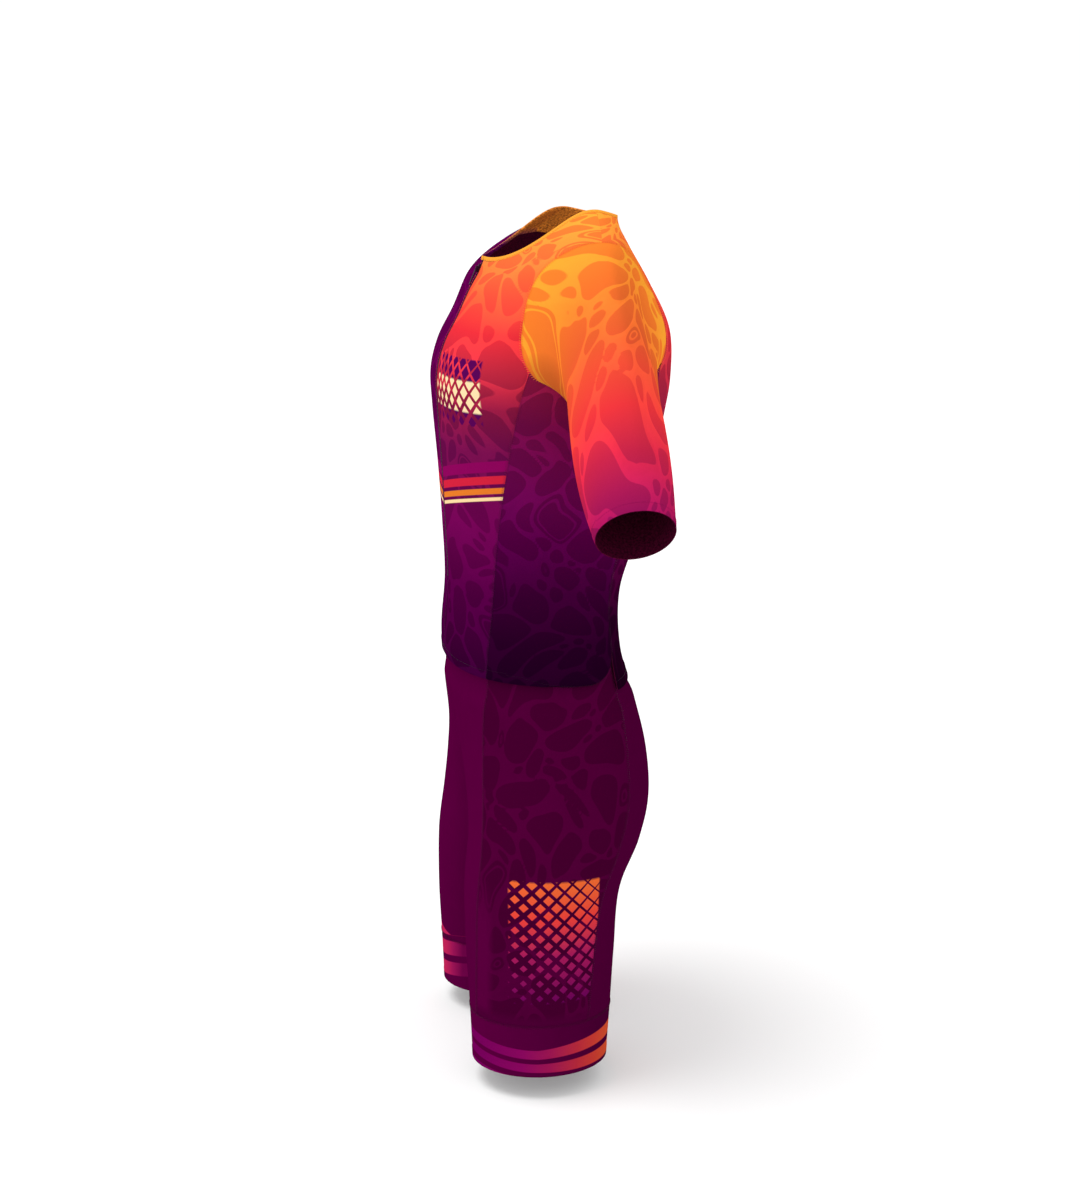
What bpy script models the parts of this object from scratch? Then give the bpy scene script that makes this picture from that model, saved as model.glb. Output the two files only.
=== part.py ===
"""Short-sleeved cycling speed suit, filled out as if worn, with no wearer inside.

The suit is a smooth shell of cut and sewn panels.  Level rings from the leg hems to the neck
give its size; each panel is a patch of the surface through those rings, bounded by its seams,
with a cloth wall built inwards.  Lengths are in millimetres up to the last step.  +X is the
wearer's left, -Y the front and +Z up.
"""
from collections import namedtuple

import bpy
import numpy as np

METRES_PER_MM = 0.001

# Cloth and making
CLOTH_WALL = 1.5
SEAM_GAP = 0.3
THINNEST_LEAN = 0.8
JERSEY_OVER_SHORTS = 3.3
SHORTS_TUCK_BELOW = 25.0
SHORTS_TUCKED_BELOW = 5.0

# Where the wearer carries the suit: midway between the two neck points of the shoulders
NECK_POINT_BACK = 20.0
NECK_POINT_HEIGHT = 908.0

# Sleeve
ARM_SPREAD = 46.5
SLEEVE_HEM_CENTRE = (343.0, 5.5, 617.0)
SLEEVE_HEM_RADIUS = 38.5
SLEEVE_BULGE = 8.5
SLEEVE_BULGE_SHIFT = 1.5
SLEEVE_FRONT_NARROWING = 10.0
SLEEVE_BACK_NARROWING = 3.0
SLEEVE_STEPS = 10
SLEEVE_CROWDING = 1.5

# Neck binding
BINDING_HEIGHT = 5.0
BINDING_THICKNESS = 2.2
BINDING_PROUD = 0.2
BINDING_ROUND = 0.8
BINDING_UPRIGHT = 0.6
BINDING_SMOOTHINGS = 4

# Zip
ZIP_OPENING_HALF = 3.5
CHAIN_HALF = 1.5
CHAIN_DEPTH = 2.4
CHAIN_SUNK = 0.1
TAPE_EDGE = 9.0
TAPE_WALL = 1.0
TAPE_CLEARANCE = 0.4
ZIP_END_GAP = 3.0
SLIDER_BELOW_TOP = 7.0
SLIDER_LENGTH = 9.0
SLIDER_WIDTH = 7.0
SLIDER_HEIGHT = 2.2
SLIDER_TAPER = 1.4
SLIDER_CORNER = 1.0
LUG_LENGTH = 3.2
LUG_WIDTH = 3.0
LUG_HEIGHT = 2.1
LUG_ROOT = 0.5
PULL_LENGTH = 20.0
PULL_WIDTH = 6.4
PULL_THICKNESS = 1.0
PULL_NOSE = 0.7
PULL_SLOT = 2.4
PULL_CORNER = 0.8
PULL_CLEARANCE = 0.7

# Level rings of the surface, from the leg hem to the neck.  Heights and depths are given at the
# front, side and back of each ring; inner and outer are the ring's own side limits, so that a
# leg ring stays on one side of the middle and a body ring is cut there.  The squares are
# superellipse powers, and dip says how fast the ring falls from the shoulder to the front.
# front_seam and back_seam are the angles of the two side seams, from 0 in front to 180 behind.
RING_COLUMNS = (
    "name z_front z_side z_back y_front y_side y_back inner outer "
    "square_front square_back dip front_seam back_seam"
)
Ring = namedtuple("Ring", RING_COLUMNS)
RINGS = (
    Ring("hem", 0, 0, 0, -117.5, -45, 30, 47, 180, 2.0, 2.0, 1.0, 16, 122),
    Ring("band_top", 58, 58, 58, -120, -45, 34, 43, 183, 2.0, 2.0, 1.0, 18, 123),
    Ring("low_thigh", 120, 120, 120, -123, -44, 38, 33, 187, 2.05, 2.05, 1.0, 23, 124),
    Ring("mid_thigh", 190, 190, 190, -123, -38, 45, 14, 190, 2.1, 2.1, 1.0, 25, 125),
    Ring("crotch", 245, 245, 245, -117, -28, 68, 0, 190, 2.15, 2.15, 1.0, 24, 125),
    Ring("buttock", 290, 290, 290, -115, -15, 81, -40, 188, 2.2, 2.2, 1.0, 25, 123),
    Ring("buttock_top", 340, 340, 340, -117, -5, 82, -110, 184, 2.3, 2.25, 1.0, 29, 119),
    Ring("hip", 395, 395, 395, -125, 0, 71, -165, 176, 2.4, 2.3, 1.0, 37, 117),
    Ring("pelvis", 450, 450, 450, -129, -2, 56, -163, 163, 2.4, 2.3, 1.0, 43, 118),
    Ring("waist", 510, 510, 510, -125, -8, 58, -147, 147, 2.4, 2.3, 1.0, 47, 119),
    Ring("ribs", 570, 570, 570, -127, -6, 79, -147, 147, 2.5, 2.3, 1.0, 51, 118),
    Ring("chest_low", 635, 635, 635, -130, 0, 93, -156, 156, 2.8, 2.35, 1.0, 57, 119),
    Ring("chest", 695, 695, 695, -134, 5, 104, -165, 165, 3.1, 2.4, 1.0, 64, 122),
    Ring("armpit", 735, 738, 740, -135, 6, 111, -170, 170, 3.2, 2.4, 1.0, 69, 127),
    Ring("scye_low", 768, 785, 790, -127, 5, 108, -176, 176, 3.0, 2.4, 1.0, 73, 133),
    Ring("scye_high", 798, 835, 838, -112, 4, 84, -180, 180, 2.6, 2.3, 1.0, 76, 138),
    Ring("shoulder", 826, 881, 872, -99, 7, 63, -178, 178, 2.3, 2.0, 0.8, 78, 140),
    Ring("yoke", 842, 897, 887, -90, 14, 57, -136, 136, 2.3, 2.0, 1.2, 80, 140),
    Ring("neck_base", 851, 905, 895, -86, 18, 57, -106, 106, 2.4, 2.0, 1.5, 80, 140),
    Ring("neck", 856, 908, 899, -84, 20, 58, -88, 88, 2.45, 2.0, 1.6, 80, 140),
)
LEVEL = {ring.name: index for index, ring in enumerate(RINGS)}

# Heights of the jersey's lower edges
TAIL_HEIGHT = 418.0
HEM_HEIGHT = 427.0
VENT_HEIGHT = 460.0
SHORTS_TOP_HEIGHT = 490.0
ZIP_BOTTOM_LEVEL = 9.0
VENT_CORNER = 38.0
VENT_SQUEEZE = 1.9

# Armhole: a closed oval on the surface, in levels and degrees from the side line
ARMHOLE_LOW = float(LEVEL["armpit"])
ARMHOLE_HIGH = float(LEVEL["shoulder"])
ARMHOLE_FRONT = 29.0
ARMHOLE_FRONT_LEAN = 0.18
ARMHOLE_BACK = 51.0
ARMHOLE_BACK_LEAN = 0.06
ARMHOLE_POWER = 3.0
ARMHOLE_SIDE_SEAM = 13.38
UNDERARM_BLEND_FROM = 11.5
UNDERARM_BLEND_POWER = 1.5

# Mesh counts
FRONT_COLUMNS = 9
SIDE_COLUMNS = 11
BACK_COLUMNS = 9
LEG_FRONT_COLUMNS = 8
LEG_SIDE_COLUMNS = 12
LEG_BACK_COLUMNS = 8
ROW_SAMPLES = 160
HEIGHT_SAMPLES = 2401

# Points nearer than a key cell count as one; the offset keeps round values off cell borders
KEY_CELL = 0.02
KEY_OFFSET = 0.0037
# Weights of x, y and z in the rank that settles how a rim's cells are halved
RIM_RANK = (0.31, 0.57, 1.0)

# Finishes: red, green, blue and roughness
FINISHES = {
    "front_print": (0.72, 0.09, 0.05, 0.62),
    "sleeve_print": (0.82, 0.26, 0.04, 0.62),
    "side_print": (0.055, 0.003, 0.055, 0.6),
    "back_print": (0.27, 0.012, 0.11, 0.62),
    "band_print": (0.27, 0.012, 0.11, 0.62),
    "shorts_plain": (0.085, 0.002, 0.045, 0.55),
    "shorts_print": (0.07, 0.002, 0.04, 0.55),
    "binding": (0.83, 0.32, 0.03, 0.6),
    "zip_tape": (0.012, 0.011, 0.013, 0.7),
    "zip_chain": (0.012, 0.011, 0.013, 0.45),
    "zip_metal": (0.06, 0.06, 0.065, 0.35),
}


def ring_values(level):
    """Every column of the ring table at a level, by a smooth curve through the rows."""
    table = np.array([ring[1:] for ring in RINGS], float)
    level = np.asarray(level, float)
    first = np.clip(np.floor(level).astype(int), 0, len(table) - 2)
    t = (level - first)[..., None]
    padded = np.vstack([2 * table[0] - table[1], table, 2 * table[-1] - table[-2]])
    before, low, high, after = (padded[first + step] for step in range(4))
    return 0.5 * (
        2 * low
        + (high - before) * t
        + (2 * before - 5 * low + 4 * high - after) * t**2
        + (3 * low - before - 3 * high + after) * t**3
    )


def columns(level, *names):
    """The named columns of the ring table at a level."""
    values = ring_values(level)
    order = RING_COLUMNS.split()[1:]
    return [values[..., order.index(name)] for name in names]


def signed_power(value, power):
    return np.sign(value) * np.abs(value) ** power


def soft_size(value, softness=0.15):
    """The size of a number from -1 to 1, with the kink at zero rounded off."""
    top = np.sqrt(1 + softness**2) - softness
    return np.clip((np.sqrt(value**2 + softness**2) - softness) / top, 0, 1)


def surface(angle, level):
    """Points of the suit's outer surface on the wearer's left, for angles in degrees."""
    angle, level = np.broadcast_arrays(np.asarray(angle, float), np.asarray(level, float))
    z_front, z_side, z_back, y_front, y_side, y_back = columns(
        level, "z_front", "z_side", "z_back", "y_front", "y_side", "y_back"
    )
    inner, outer, square_front, square_back, dip = columns(
        level, "inner", "outer", "square_front", "square_back", "dip"
    )
    sine = np.sin(np.radians(angle))
    cosine = np.cos(np.radians(angle))
    is_front = cosine >= 0
    power = 2 / np.where(is_front, square_front, square_back)
    fall = 1 - (1 - soft_size(cosine)) ** np.where(is_front, dip, 1.0)
    x = (inner + outer) / 2 + (outer - inner) / 2 * signed_power(sine, power)
    y = y_side + (np.where(is_front, y_front, y_back) - y_side) * np.abs(cosine) ** power
    z = z_side + (np.where(is_front, z_front, z_back) - z_side) * fall
    return np.stack([x, y, z], axis=-1)


def front_edge(level, x=0.0):
    """Angle at which a ring's front reaches the given distance from the middle plane."""
    inner, outer, square = columns(level, "inner", "outer", "square_front")
    reach = np.clip((x - (inner + outer) / 2) / ((outer - inner) / 2), -1, 1)
    return np.degrees(np.arcsin(signed_power(reach, square / 2)))


def back_edge(level):
    """Angle at which a ring's back reaches the middle plane."""
    inner, outer, square = columns(level, "inner", "outer", "square_back")
    reach = np.clip(-(inner + outer) / (outer - inner), -1, 1)
    return 180 - np.degrees(np.arcsin(signed_power(reach, square / 2)))


def level_at(height):
    """Level of a horizontal line at a height below the arms."""
    low = np.linspace(0, LEVEL["chest"], HEIGHT_SAMPLES)
    return float(np.interp(height, columns(low, "z_side")[0], low))


def armhole_reach(level):
    """How wide the armhole is at a level, from 0 at its ends to 1."""
    centre = (ARMHOLE_LOW + ARMHOLE_HIGH) / 2
    half = (ARMHOLE_HIGH - ARMHOLE_LOW) / 2
    off = np.clip(np.abs(level - centre) / half, 0, 1)
    return (1 - off**ARMHOLE_POWER) ** (1 / ARMHOLE_POWER)


def armhole_front(level):
    centre = (ARMHOLE_LOW + ARMHOLE_HIGH) / 2
    return 90 - ARMHOLE_FRONT * (1 + ARMHOLE_FRONT_LEAN * (level - centre)) * armhole_reach(level)


def armhole_back(level):
    centre = (ARMHOLE_LOW + ARMHOLE_HIGH) / 2
    return 90 + ARMHOLE_BACK * (1 + ARMHOLE_BACK_LEAN * (level - centre)) * armhole_reach(level)


def armhole_floor(angle):
    """Level of the armhole's lower end between the two side seams."""
    centre = (ARMHOLE_LOW + ARMHOLE_HIGH) / 2
    half = (ARMHOLE_HIGH - ARMHOLE_LOW) / 2
    reach = armhole_reach(ARMHOLE_SIDE_SEAM)
    wide_front = (90 - armhole_front(ARMHOLE_SIDE_SEAM)) / reach
    wide_back = (armhole_back(ARMHOLE_SIDE_SEAM) - 90) / reach
    off = np.clip(np.abs(angle - 90) / np.where(angle < 90, wide_front, wide_back), 0, 1)
    return centre - half * (1 - off**ARMHOLE_POWER) ** (1 / ARMHOLE_POWER)


def side_seam(level, which):
    """Angle of the front or back side seam, which ends on the armhole."""
    table = columns(level, which)[0]
    armhole = armhole_front if which == "front_seam" else armhole_back
    at_end = np.abs(np.asarray(level) - ARMHOLE_SIDE_SEAM) < 1e-6
    return np.where(at_end, armhole(np.asarray(level, float)), table)


def even_row(start, end, count):
    """Angles and levels that cut a line on the surface into steps of equal length.

    Each end is an angle and a level.
    """
    along_line = np.linspace(0, 1, ROW_SAMPLES)
    angles = start[0] + (end[0] - start[0]) * along_line
    levels = start[1] + (end[1] - start[1]) * along_line
    steps = np.linalg.norm(np.diff(surface(angles, levels), axis=0), axis=1)
    along = np.concatenate([[0], np.cumsum(steps)])
    even = np.linspace(0, along[-1], count)
    return np.interp(even, along, angles), np.interp(even, along, levels)


def level_row(start, end, level, count):
    """Points of a row at one level between two angles."""
    return surface(*even_row((start, level), (end, level), count))


def mirrored(points):
    """The same panel on the wearer's right, with its columns turned round."""
    return points[:, ::-1] * np.array([-1.0, 1.0, 1.0])


# Levels of the rows that the panels share
VENT_STEPS = (0.0, 0.06, 0.2, 0.42, 0.68, 1.0)
CHEST_LEVELS = (8.6, ZIP_BOTTOM_LEVEL, 9.5, 10.0, 10.5, 11.0, 11.5, 12.0, 12.5, 13.0, ARMHOLE_SIDE_SEAM)
# Rows above the side seams rise from the armhole or the shoulder seam to the middle
Rise = namedtuple("Rise", "edge middle")
ARMHOLE_ROWS = (
    Rise(13.75, 13.8),
    Rise(14.25, 14.4),
    Rise(14.75, 15.0),
    Rise(15.2, 15.5),
    Rise(15.55, 15.95),
    Rise(15.8, 16.35),
    Rise(15.94, 16.7),
    Rise(ARMHOLE_HIGH, 17.0),
)
YOKE_ROWS = (
    Rise(16.45, 17.3),
    Rise(17.0, 17.7),
    Rise(17.7, 18.15),
    Rise(18.4, 18.6),
    Rise(19.0, 19.0),
)
LEG_LEVELS = (1.0, 1.6, 2.2, 2.8, 3.3, 3.7, 3.9, 4.0, 4.05, 4.15, 4.35, 4.65, 5.0, 5.5, 6.0, 6.5, 7.0)
BAND_LEVELS = (0.0, 0.33, 0.67, 1.0)
SHORTS_TUCK_ROWS = 4


def hem_levels():
    """Levels from the jersey's hem up its side vent."""
    low, high = level_at(HEM_HEIGHT), level_at(VENT_HEIGHT)
    return [low + (high - low) * step for step in VENT_STEPS]


def jersey_front():
    """Left front, from the zip and the short seam below it to the side, armhole and shoulder."""
    rows = []
    for level in (*hem_levels(), *CHEST_LEVELS):
        start = front_edge(level, ZIP_OPENING_HALF if level >= ZIP_BOTTOM_LEVEL else 0.0)
        rows.append(level_row(start, side_seam(level, "front_seam"), level, FRONT_COLUMNS))
    for row in (*ARMHOLE_ROWS, *YOKE_ROWS):
        start = front_edge(row.middle, ZIP_OPENING_HALF)
        end = armhole_front(row.edge) if row.edge < ARMHOLE_HIGH else 90.0
        rows.append(surface(*even_row((start, row.middle), (end, row.edge), FRONT_COLUMNS)))
    return np.array(rows)


def jersey_side():
    """Left side panel: a rounded vent corner below and the underarm's curve above."""
    rows = []
    low, high = level_at(HEM_HEIGHT), level_at(VENT_HEIGHT)
    for level in (*hem_levels(), *CHEST_LEVELS):
        start = float(side_seam(level, "front_seam"))
        end = float(side_seam(level, "back_seam"))
        angles = even_row((start, level), (end, level), SIDE_COLUMNS)[0]
        down = np.clip((high - level) / (high - low), 0, 1)
        spread = (angles - start) / (end - start)
        angles -= VENT_CORNER * (1 - np.sqrt(1 - down**2)) * spread**VENT_SQUEEZE
        rise = np.clip((level - UNDERARM_BLEND_FROM) / (ARMHOLE_SIDE_SEAM - UNDERARM_BLEND_FROM), 0, 1)
        spread = (angles - start) / (end - start)
        seam_front, seam_back = armhole_front(ARMHOLE_SIDE_SEAM), armhole_back(ARMHOLE_SIDE_SEAM)
        sink = ARMHOLE_SIDE_SEAM - armhole_floor(seam_front + spread * (seam_back - seam_front))
        rows.append(surface(angles, level - sink * rise**UNDERARM_BLEND_POWER))
    return np.array(rows)


def jersey_back():
    """Whole back, from side seam to side seam, with a tail below the hem."""
    halves = []
    for level in (level_at(TAIL_HEIGHT), *hem_levels(), *CHEST_LEVELS):
        halves.append(level_row(side_seam(level, "back_seam"), 180.0, level, BACK_COLUMNS))
    for row in (*ARMHOLE_ROWS, *YOKE_ROWS):
        start = armhole_back(row.edge) if row.edge < ARMHOLE_HIGH else 90.0
        halves.append(surface(*even_row((start, row.edge), (180.0, row.middle), BACK_COLUMNS)))
    left = np.array(halves)
    return np.concatenate([left, mirrored(left)[:, 1:]], axis=1)


def armhole_loop(front, side, back):
    """Armhole points from the shoulder down the front, under the arm and up the back."""
    low = len(hem_levels()) + len(CHEST_LEVELS) - 1
    high = low + len(ARMHOLE_ROWS)
    down_front = front[low:high + 1, -1][::-1]
    under = side[-1][1:-1]
    up_back = back[low + 1:high + 1, 0]
    return np.concatenate([down_front, under, up_back])


def sleeve(loop):
    """Sleeve as smooth threads from each armhole point to the round hem.

    A thread leaves along the shoulder on top and along the arm below, and arrives along the
    arm.  The armhole is deeper than the arm, so the depth falls to the hem's by a power of
    what is left of the way, quicker in front than behind.  Past the middle the sleeve bulges
    by a few millimetres, as a filled sleeve does.
    """
    spread = np.radians(ARM_SPREAD)
    arm = np.array([np.sin(spread), 0.0, -np.cos(spread)])
    up = np.array([np.cos(spread), 0.0, np.sin(spread)])
    front = np.array([0.0, -1.0, 0.0])
    closed = np.vstack([loop, loop[:1]])
    along = np.concatenate([[0], np.cumsum(np.linalg.norm(np.diff(closed, axis=0), axis=1))])
    lowest = int(np.argmin(loop[:, 2]))
    turn = np.interp(along[:-1], [0, along[lowest], along[-1]], [0, np.pi, 2 * np.pi])
    around = np.cos(turn)[:, None] * up + np.sin(turn)[:, None] * front
    hem = np.array(SLEEVE_HEM_CENTRE) + SLEEVE_HEM_RADIUS * around
    shoulder_line = surface(90.0, ARMHOLE_HIGH) - surface(90.0, ARMHOLE_HIGH + 1)
    shoulder_line = shoulder_line / np.linalg.norm(shoulder_line)
    on_top = np.cos(turn / 2)[:, None] ** 2
    leave = arm + (shoulder_line - arm) * on_top
    reach = np.linalg.norm(hem - loop, axis=1)[:, None]
    frontness = np.sqrt((1 + np.sin(turn)) / 2)
    narrowing = SLEEVE_BACK_NARROWING + (SLEEVE_FRONT_NARROWING - SLEEVE_BACK_NARROWING) * frontness
    rows = []
    for t in np.linspace(0, 1, SLEEVE_STEPS + 1) ** SLEEVE_CROWDING:
        thread = (
            (2 * t**3 - 3 * t**2 + 1) * loop
            + (t**3 - 2 * t**2 + t) * reach * leave
            + (3 * t**2 - 2 * t**3) * hem
            + (t**3 - t**2) * reach * arm
        )
        thread[:, 1] = hem[:, 1] + (loop[:, 1] - hem[:, 1]) * (1 - t) ** narrowing
        rows.append(thread + SLEEVE_BULGE * np.sin(np.pi * t**SLEEVE_BULGE_SHIFT) * around)
    return np.array(rows)


def outward(angle, level):
    """Direction out of the surface."""
    turn, lift = 0.5, 0.02
    across = surface(angle + turn, level) - surface(angle - turn, level)
    along = surface(angle, level + lift) - surface(angle, level - lift)
    return unit(np.cross(across, along))


def tucked(angles, level):
    """A row of shorts points, drawn in where the jersey lies over them."""
    start = level_at(TAIL_HEIGHT - SHORTS_TUCK_BELOW)
    end = level_at(TAIL_HEIGHT - SHORTS_TUCKED_BELOW)
    amount = np.clip((level - start) / (end - start), 0, 1)
    amount = amount**2 * (3 - 2 * amount)
    points = surface(angles, level)
    if amount > 0:
        points = points - JERSEY_OVER_SHORTS * amount * outward(angles, level)
        points[np.abs(surface(angles, level)[:, 0]) < 0.001, 0] = 0.0
    return points


def shorts_levels():
    start, end = level_at(TAIL_HEIGHT), level_at(SHORTS_TOP_HEIGHT)
    return (*LEG_LEVELS, *np.linspace(start, end, SHORTS_TUCK_ROWS))


def shorts_panel(start_of, end_of, count):
    """A shorts panel between two seams, each given as a function of the level."""
    rows = []
    for level in shorts_levels():
        angles = even_row((start_of(level), level), (end_of(level), level), count)[0]
        rows.append(tucked(angles, level))
    return np.array(rows)


def leg_front_start(level):
    return front_edge(level) if level >= LEVEL["crotch"] else -90.0


def leg_back_end(level):
    return back_edge(level) if level >= LEVEL["crotch"] else 270.0


def shorts_front():
    return shorts_panel(leg_front_start, lambda at: side_seam(at, "front_seam"), LEG_FRONT_COLUMNS)


def shorts_side():
    return shorts_panel(
        lambda at: side_seam(at, "front_seam"), lambda at: side_seam(at, "back_seam"), LEG_SIDE_COLUMNS
    )


def shorts_back():
    return shorts_panel(lambda at: side_seam(at, "back_seam"), leg_back_end, LEG_BACK_COLUMNS)


def leg_band():
    """Hem band of one leg, all round, on the columns of the three panels above it."""
    counts = (LEG_FRONT_COLUMNS, LEG_SIDE_COLUMNS, LEG_BACK_COLUMNS)
    rows = []
    for level in BAND_LEVELS:
        seams = (-90.0, side_seam(level, "front_seam"), side_seam(level, "back_seam"), 270.0)
        row = [
            level_row(start, end, level, count)[:-1]
            for start, end, count in zip(seams, seams[1:], counts)
        ]
        rows.append(np.concatenate(row))
    return np.array(rows)


class Piece:
    """A patch of cloth: a grid of outer points, rows by columns, and how its edges are sewn."""

    def __init__(self, name, finish, points, closed=False, sewn=""):
        self.name = name
        self.finish = finish
        self.points = np.asarray(points, float)
        self.closed = closed
        self.sewn = sewn.split()
        self.normals = None

    def face_normals(self):
        p = self.points
        if self.closed:
            p = np.concatenate([p, p[:, :1]], axis=1)
        across = p[1:, 1:] - p[:-1, :-1]
        other = p[1:, :-1] - p[:-1, 1:]
        return np.cross(across, other)

    def own_normals(self):
        """Sum at each point of the normals of the cells around it."""
        cells = self.face_normals()
        total = np.zeros_like(self.points)
        count = self.points.shape[1]
        for down in (0, 1):
            for right in (0, 1):
                rows = slice(down, down + cells.shape[0])
                at = (np.arange(cells.shape[1]) + right) % count
                total[rows, at] += cells
        return total


def place_keys(points):
    """A key for each point that is the same for points at one place."""
    cells = np.floor((points.reshape(-1, 3) + KEY_OFFSET) / KEY_CELL).astype(int)
    return [tuple(cell) for cell in cells]


def share_normals(*groups):
    """Give points that pieces share one normal, so that their walls stay side by side.

    The pieces of a group are one smooth surface.  Where groups meet, as a sleeve meets the
    body, each group counts once, so the walls part half way between the two.
    """
    joint = {}
    for group in groups:
        totals = {}
        for piece in group:
            for key, normal in zip(place_keys(piece.points), piece.own_normals().reshape(-1, 3)):
                totals[key] = totals.get(key, 0) + normal
        for key, total in totals.items():
            joint[key] = joint.get(key, 0) + unit(total)
    for piece in (piece for group in groups for piece in group):
        normals = np.array([joint[key] for key in place_keys(piece.points)])
        piece.normals = unit(normals.reshape(piece.points.shape))


def unit(vectors):
    return vectors / np.maximum(np.linalg.norm(vectors, axis=-1, keepdims=True), 1e-9)


def drawn_in(piece):
    """The piece's points with each sewn edge moved in by half the seam gap."""
    points = piece.points.copy()
    edges = {
        "low": (np.s_[0], np.s_[1]),
        "high": (np.s_[-1], np.s_[-2]),
        "start": (np.s_[:, 0], np.s_[:, 1]),
        "end": (np.s_[:, -1], np.s_[:, -2]),
    }
    for edge in piece.sewn:
        here, inside = edges[edge]
        line = piece.points[here]
        if piece.closed:
            along = np.roll(line, -1, axis=0) - np.roll(line, 1, axis=0)
        else:
            along = np.gradient(line, axis=0)
        inward = unit(np.cross(piece.normals[here], along))
        side = np.sum(inward * (piece.points[inside] - line), axis=1)
        inward *= np.where(side < 0, -1.0, 1.0)[:, None]
        points[here] += SEAM_GAP / 2 * inward
    return points


def wall_faces(points, rows, count, closed):
    """Faces of a wall: outer grid, inner grid and the rims that join them.

    A rim's cells are halved by a rule on their places, so that two rims that face each other
    across a seam are halved alike.
    """
    index = np.arange(rows * count).reshape(rows, count)
    if closed:
        index = np.concatenate([index, index[:, :1]], axis=1)
    a, b = index[:-1, :-1].ravel(), index[:-1, 1:].ravel()
    c, d = index[1:, 1:].ravel(), index[1:, :-1].ravel()
    shift = rows * count
    outer = np.stack([a, b, c, d], axis=1)
    inner = np.stack([d, c, b, a], axis=1) + shift
    rank = np.stack([np.abs(points[:, 0]), points[:, 1], points[:, 2]], axis=1) @ np.array(RIM_RANK)
    rims = []

    def rim(line):
        for here, after in zip(line[:-1], line[1:]):
            if rank[here] < rank[after]:
                rims.append((after, here, after + shift))
                rims.append((here, here + shift, after + shift))
            else:
                rims.append((after, here, here + shift))
                rims.append((after, here + shift, after + shift))

    rim(index[0])
    rim(index[-1][::-1])
    if not closed:
        rim(index[:, 0][::-1])
        rim(index[:, -1])
    return [*outer.tolist(), *inner.tolist(), *rims]


def to_part_frame(points):
    """Metres from the point where the wearer carries the suit."""
    carried = np.array([0.0, NECK_POINT_BACK, NECK_POINT_HEIGHT])
    return (points - carried) * METRES_PER_MM


def material(name):
    """The named finish as a Principled material."""
    red, green, blue, roughness = FINISHES[name]
    made = bpy.data.materials.get(name) or bpy.data.materials.new(name)
    made.use_nodes = True
    shader = made.node_tree.nodes["Principled BSDF"]
    shader.inputs["Base Color"].default_value = (red, green, blue, 1.0)
    shader.inputs["Roughness"].default_value = roughness
    shader.inputs["Metallic"].default_value = 0.8 if name == "zip_metal" else 0.0
    return made


def add_object(name, finish, points, faces, origin=(0.0, 0.0, 0.0)):
    """A mesh object from points in metres in the part's frame, with its own origin."""
    origin = np.asarray(origin, float)
    mesh = bpy.data.meshes.new(name)
    mesh.from_pydata((np.asarray(points) - origin).tolist(), [], faces)
    mesh.update()
    mesh.shade_smooth()
    mesh.set_sharp_from_angle(angle=np.radians(40))
    mesh.materials.append(material(finish))
    made = bpy.data.objects.new(name, mesh)
    made.location = origin
    bpy.context.scene.collection.objects.link(made)
    return made


def add_cloth(piece, thickness=CLOTH_WALL):
    """The piece's cloth wall, built inwards from its outer points."""
    outer = drawn_in(piece)
    own = unit(piece.own_normals())
    lean = np.clip(np.sum(own * piece.normals, axis=-1, keepdims=True), THINNEST_LEAN, 1)
    inner = outer - thickness / lean * piece.normals
    rows, count = outer.shape[:2]
    points = np.concatenate([outer.reshape(-1, 3), inner.reshape(-1, 3)])
    faces = wall_faces(points, rows, count, piece.closed)
    return add_object(piece.name, piece.finish, to_part_frame(points), faces)


def both_sides(name, finish, points, closed=False, sewn=""):
    """The left piece and its mirror image on the right."""
    left = Piece(name + "_left", finish, points, closed, sewn)
    swap = {"start": "end", "end": "start"}
    other = " ".join(swap.get(edge, edge) for edge in sewn.split())
    right = Piece(name + "_right", finish, mirrored(left.points), closed, other)
    return [left, right]


def neck_line(front, back):
    """Neck edge from the left of the zip round the back to the right of the zip."""
    left = front[-1]
    rear = back[-1][1:-1]
    right = mirrored(front)[-1]
    return np.concatenate([left, rear, right])


def neck_rise(front, back):
    """Direction of the cloth at the neck edge, turned part of the way upright."""
    left = front[-1] - front[-2]
    rear = (back[-1] - back[-2])[1:-1]
    right = mirrored(front)[-1] - mirrored(front)[-2]
    rise = unit(np.concatenate([left, rear, right]))
    rise = unit(rise + np.array([0.0, 0.0, BINDING_UPRIGHT]))
    for _ in range(BINDING_SMOOTHINGS):
        middle = (rise[:-2] + 2 * rise[1:-1] + rise[2:]) / 4
        rise[1:-1] = unit(middle)
    return rise


def add_neck_binding(front, back):
    """Folded binding that stands on the neck edge, open at the zip."""
    line = neck_line(front, back)
    rise = neck_rise(front, back)
    along = unit(np.gradient(line, axis=0))
    outward = unit(np.cross(along, rise))
    low = SEAM_GAP
    high = SEAM_GAP + BINDING_HEIGHT
    face = BINDING_PROUD
    lining = BINDING_PROUD - BINDING_THICKNESS
    profile = ((low, face), (high - BINDING_ROUND, face), (high, face - BINDING_ROUND),
               (high, lining + BINDING_ROUND), (high - BINDING_ROUND, lining), (low, lining))
    rings = np.array([line + up * rise + out * outward for up, out in profile])
    count = line.shape[0]
    points = rings.reshape(-1, 3)
    faces = []
    sides = len(profile)
    for side in range(sides):
        after = (side + 1) % sides
        for step in range(count - 1):
            faces.append((side * count + step, side * count + step + 1,
                          after * count + step + 1, after * count + step))
    faces.append([side * count for side in range(sides)])
    faces.append([side * count + count - 1 for side in range(sides)][::-1])
    return add_object("neck_binding", "binding", to_part_frame(points), faces)


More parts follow.
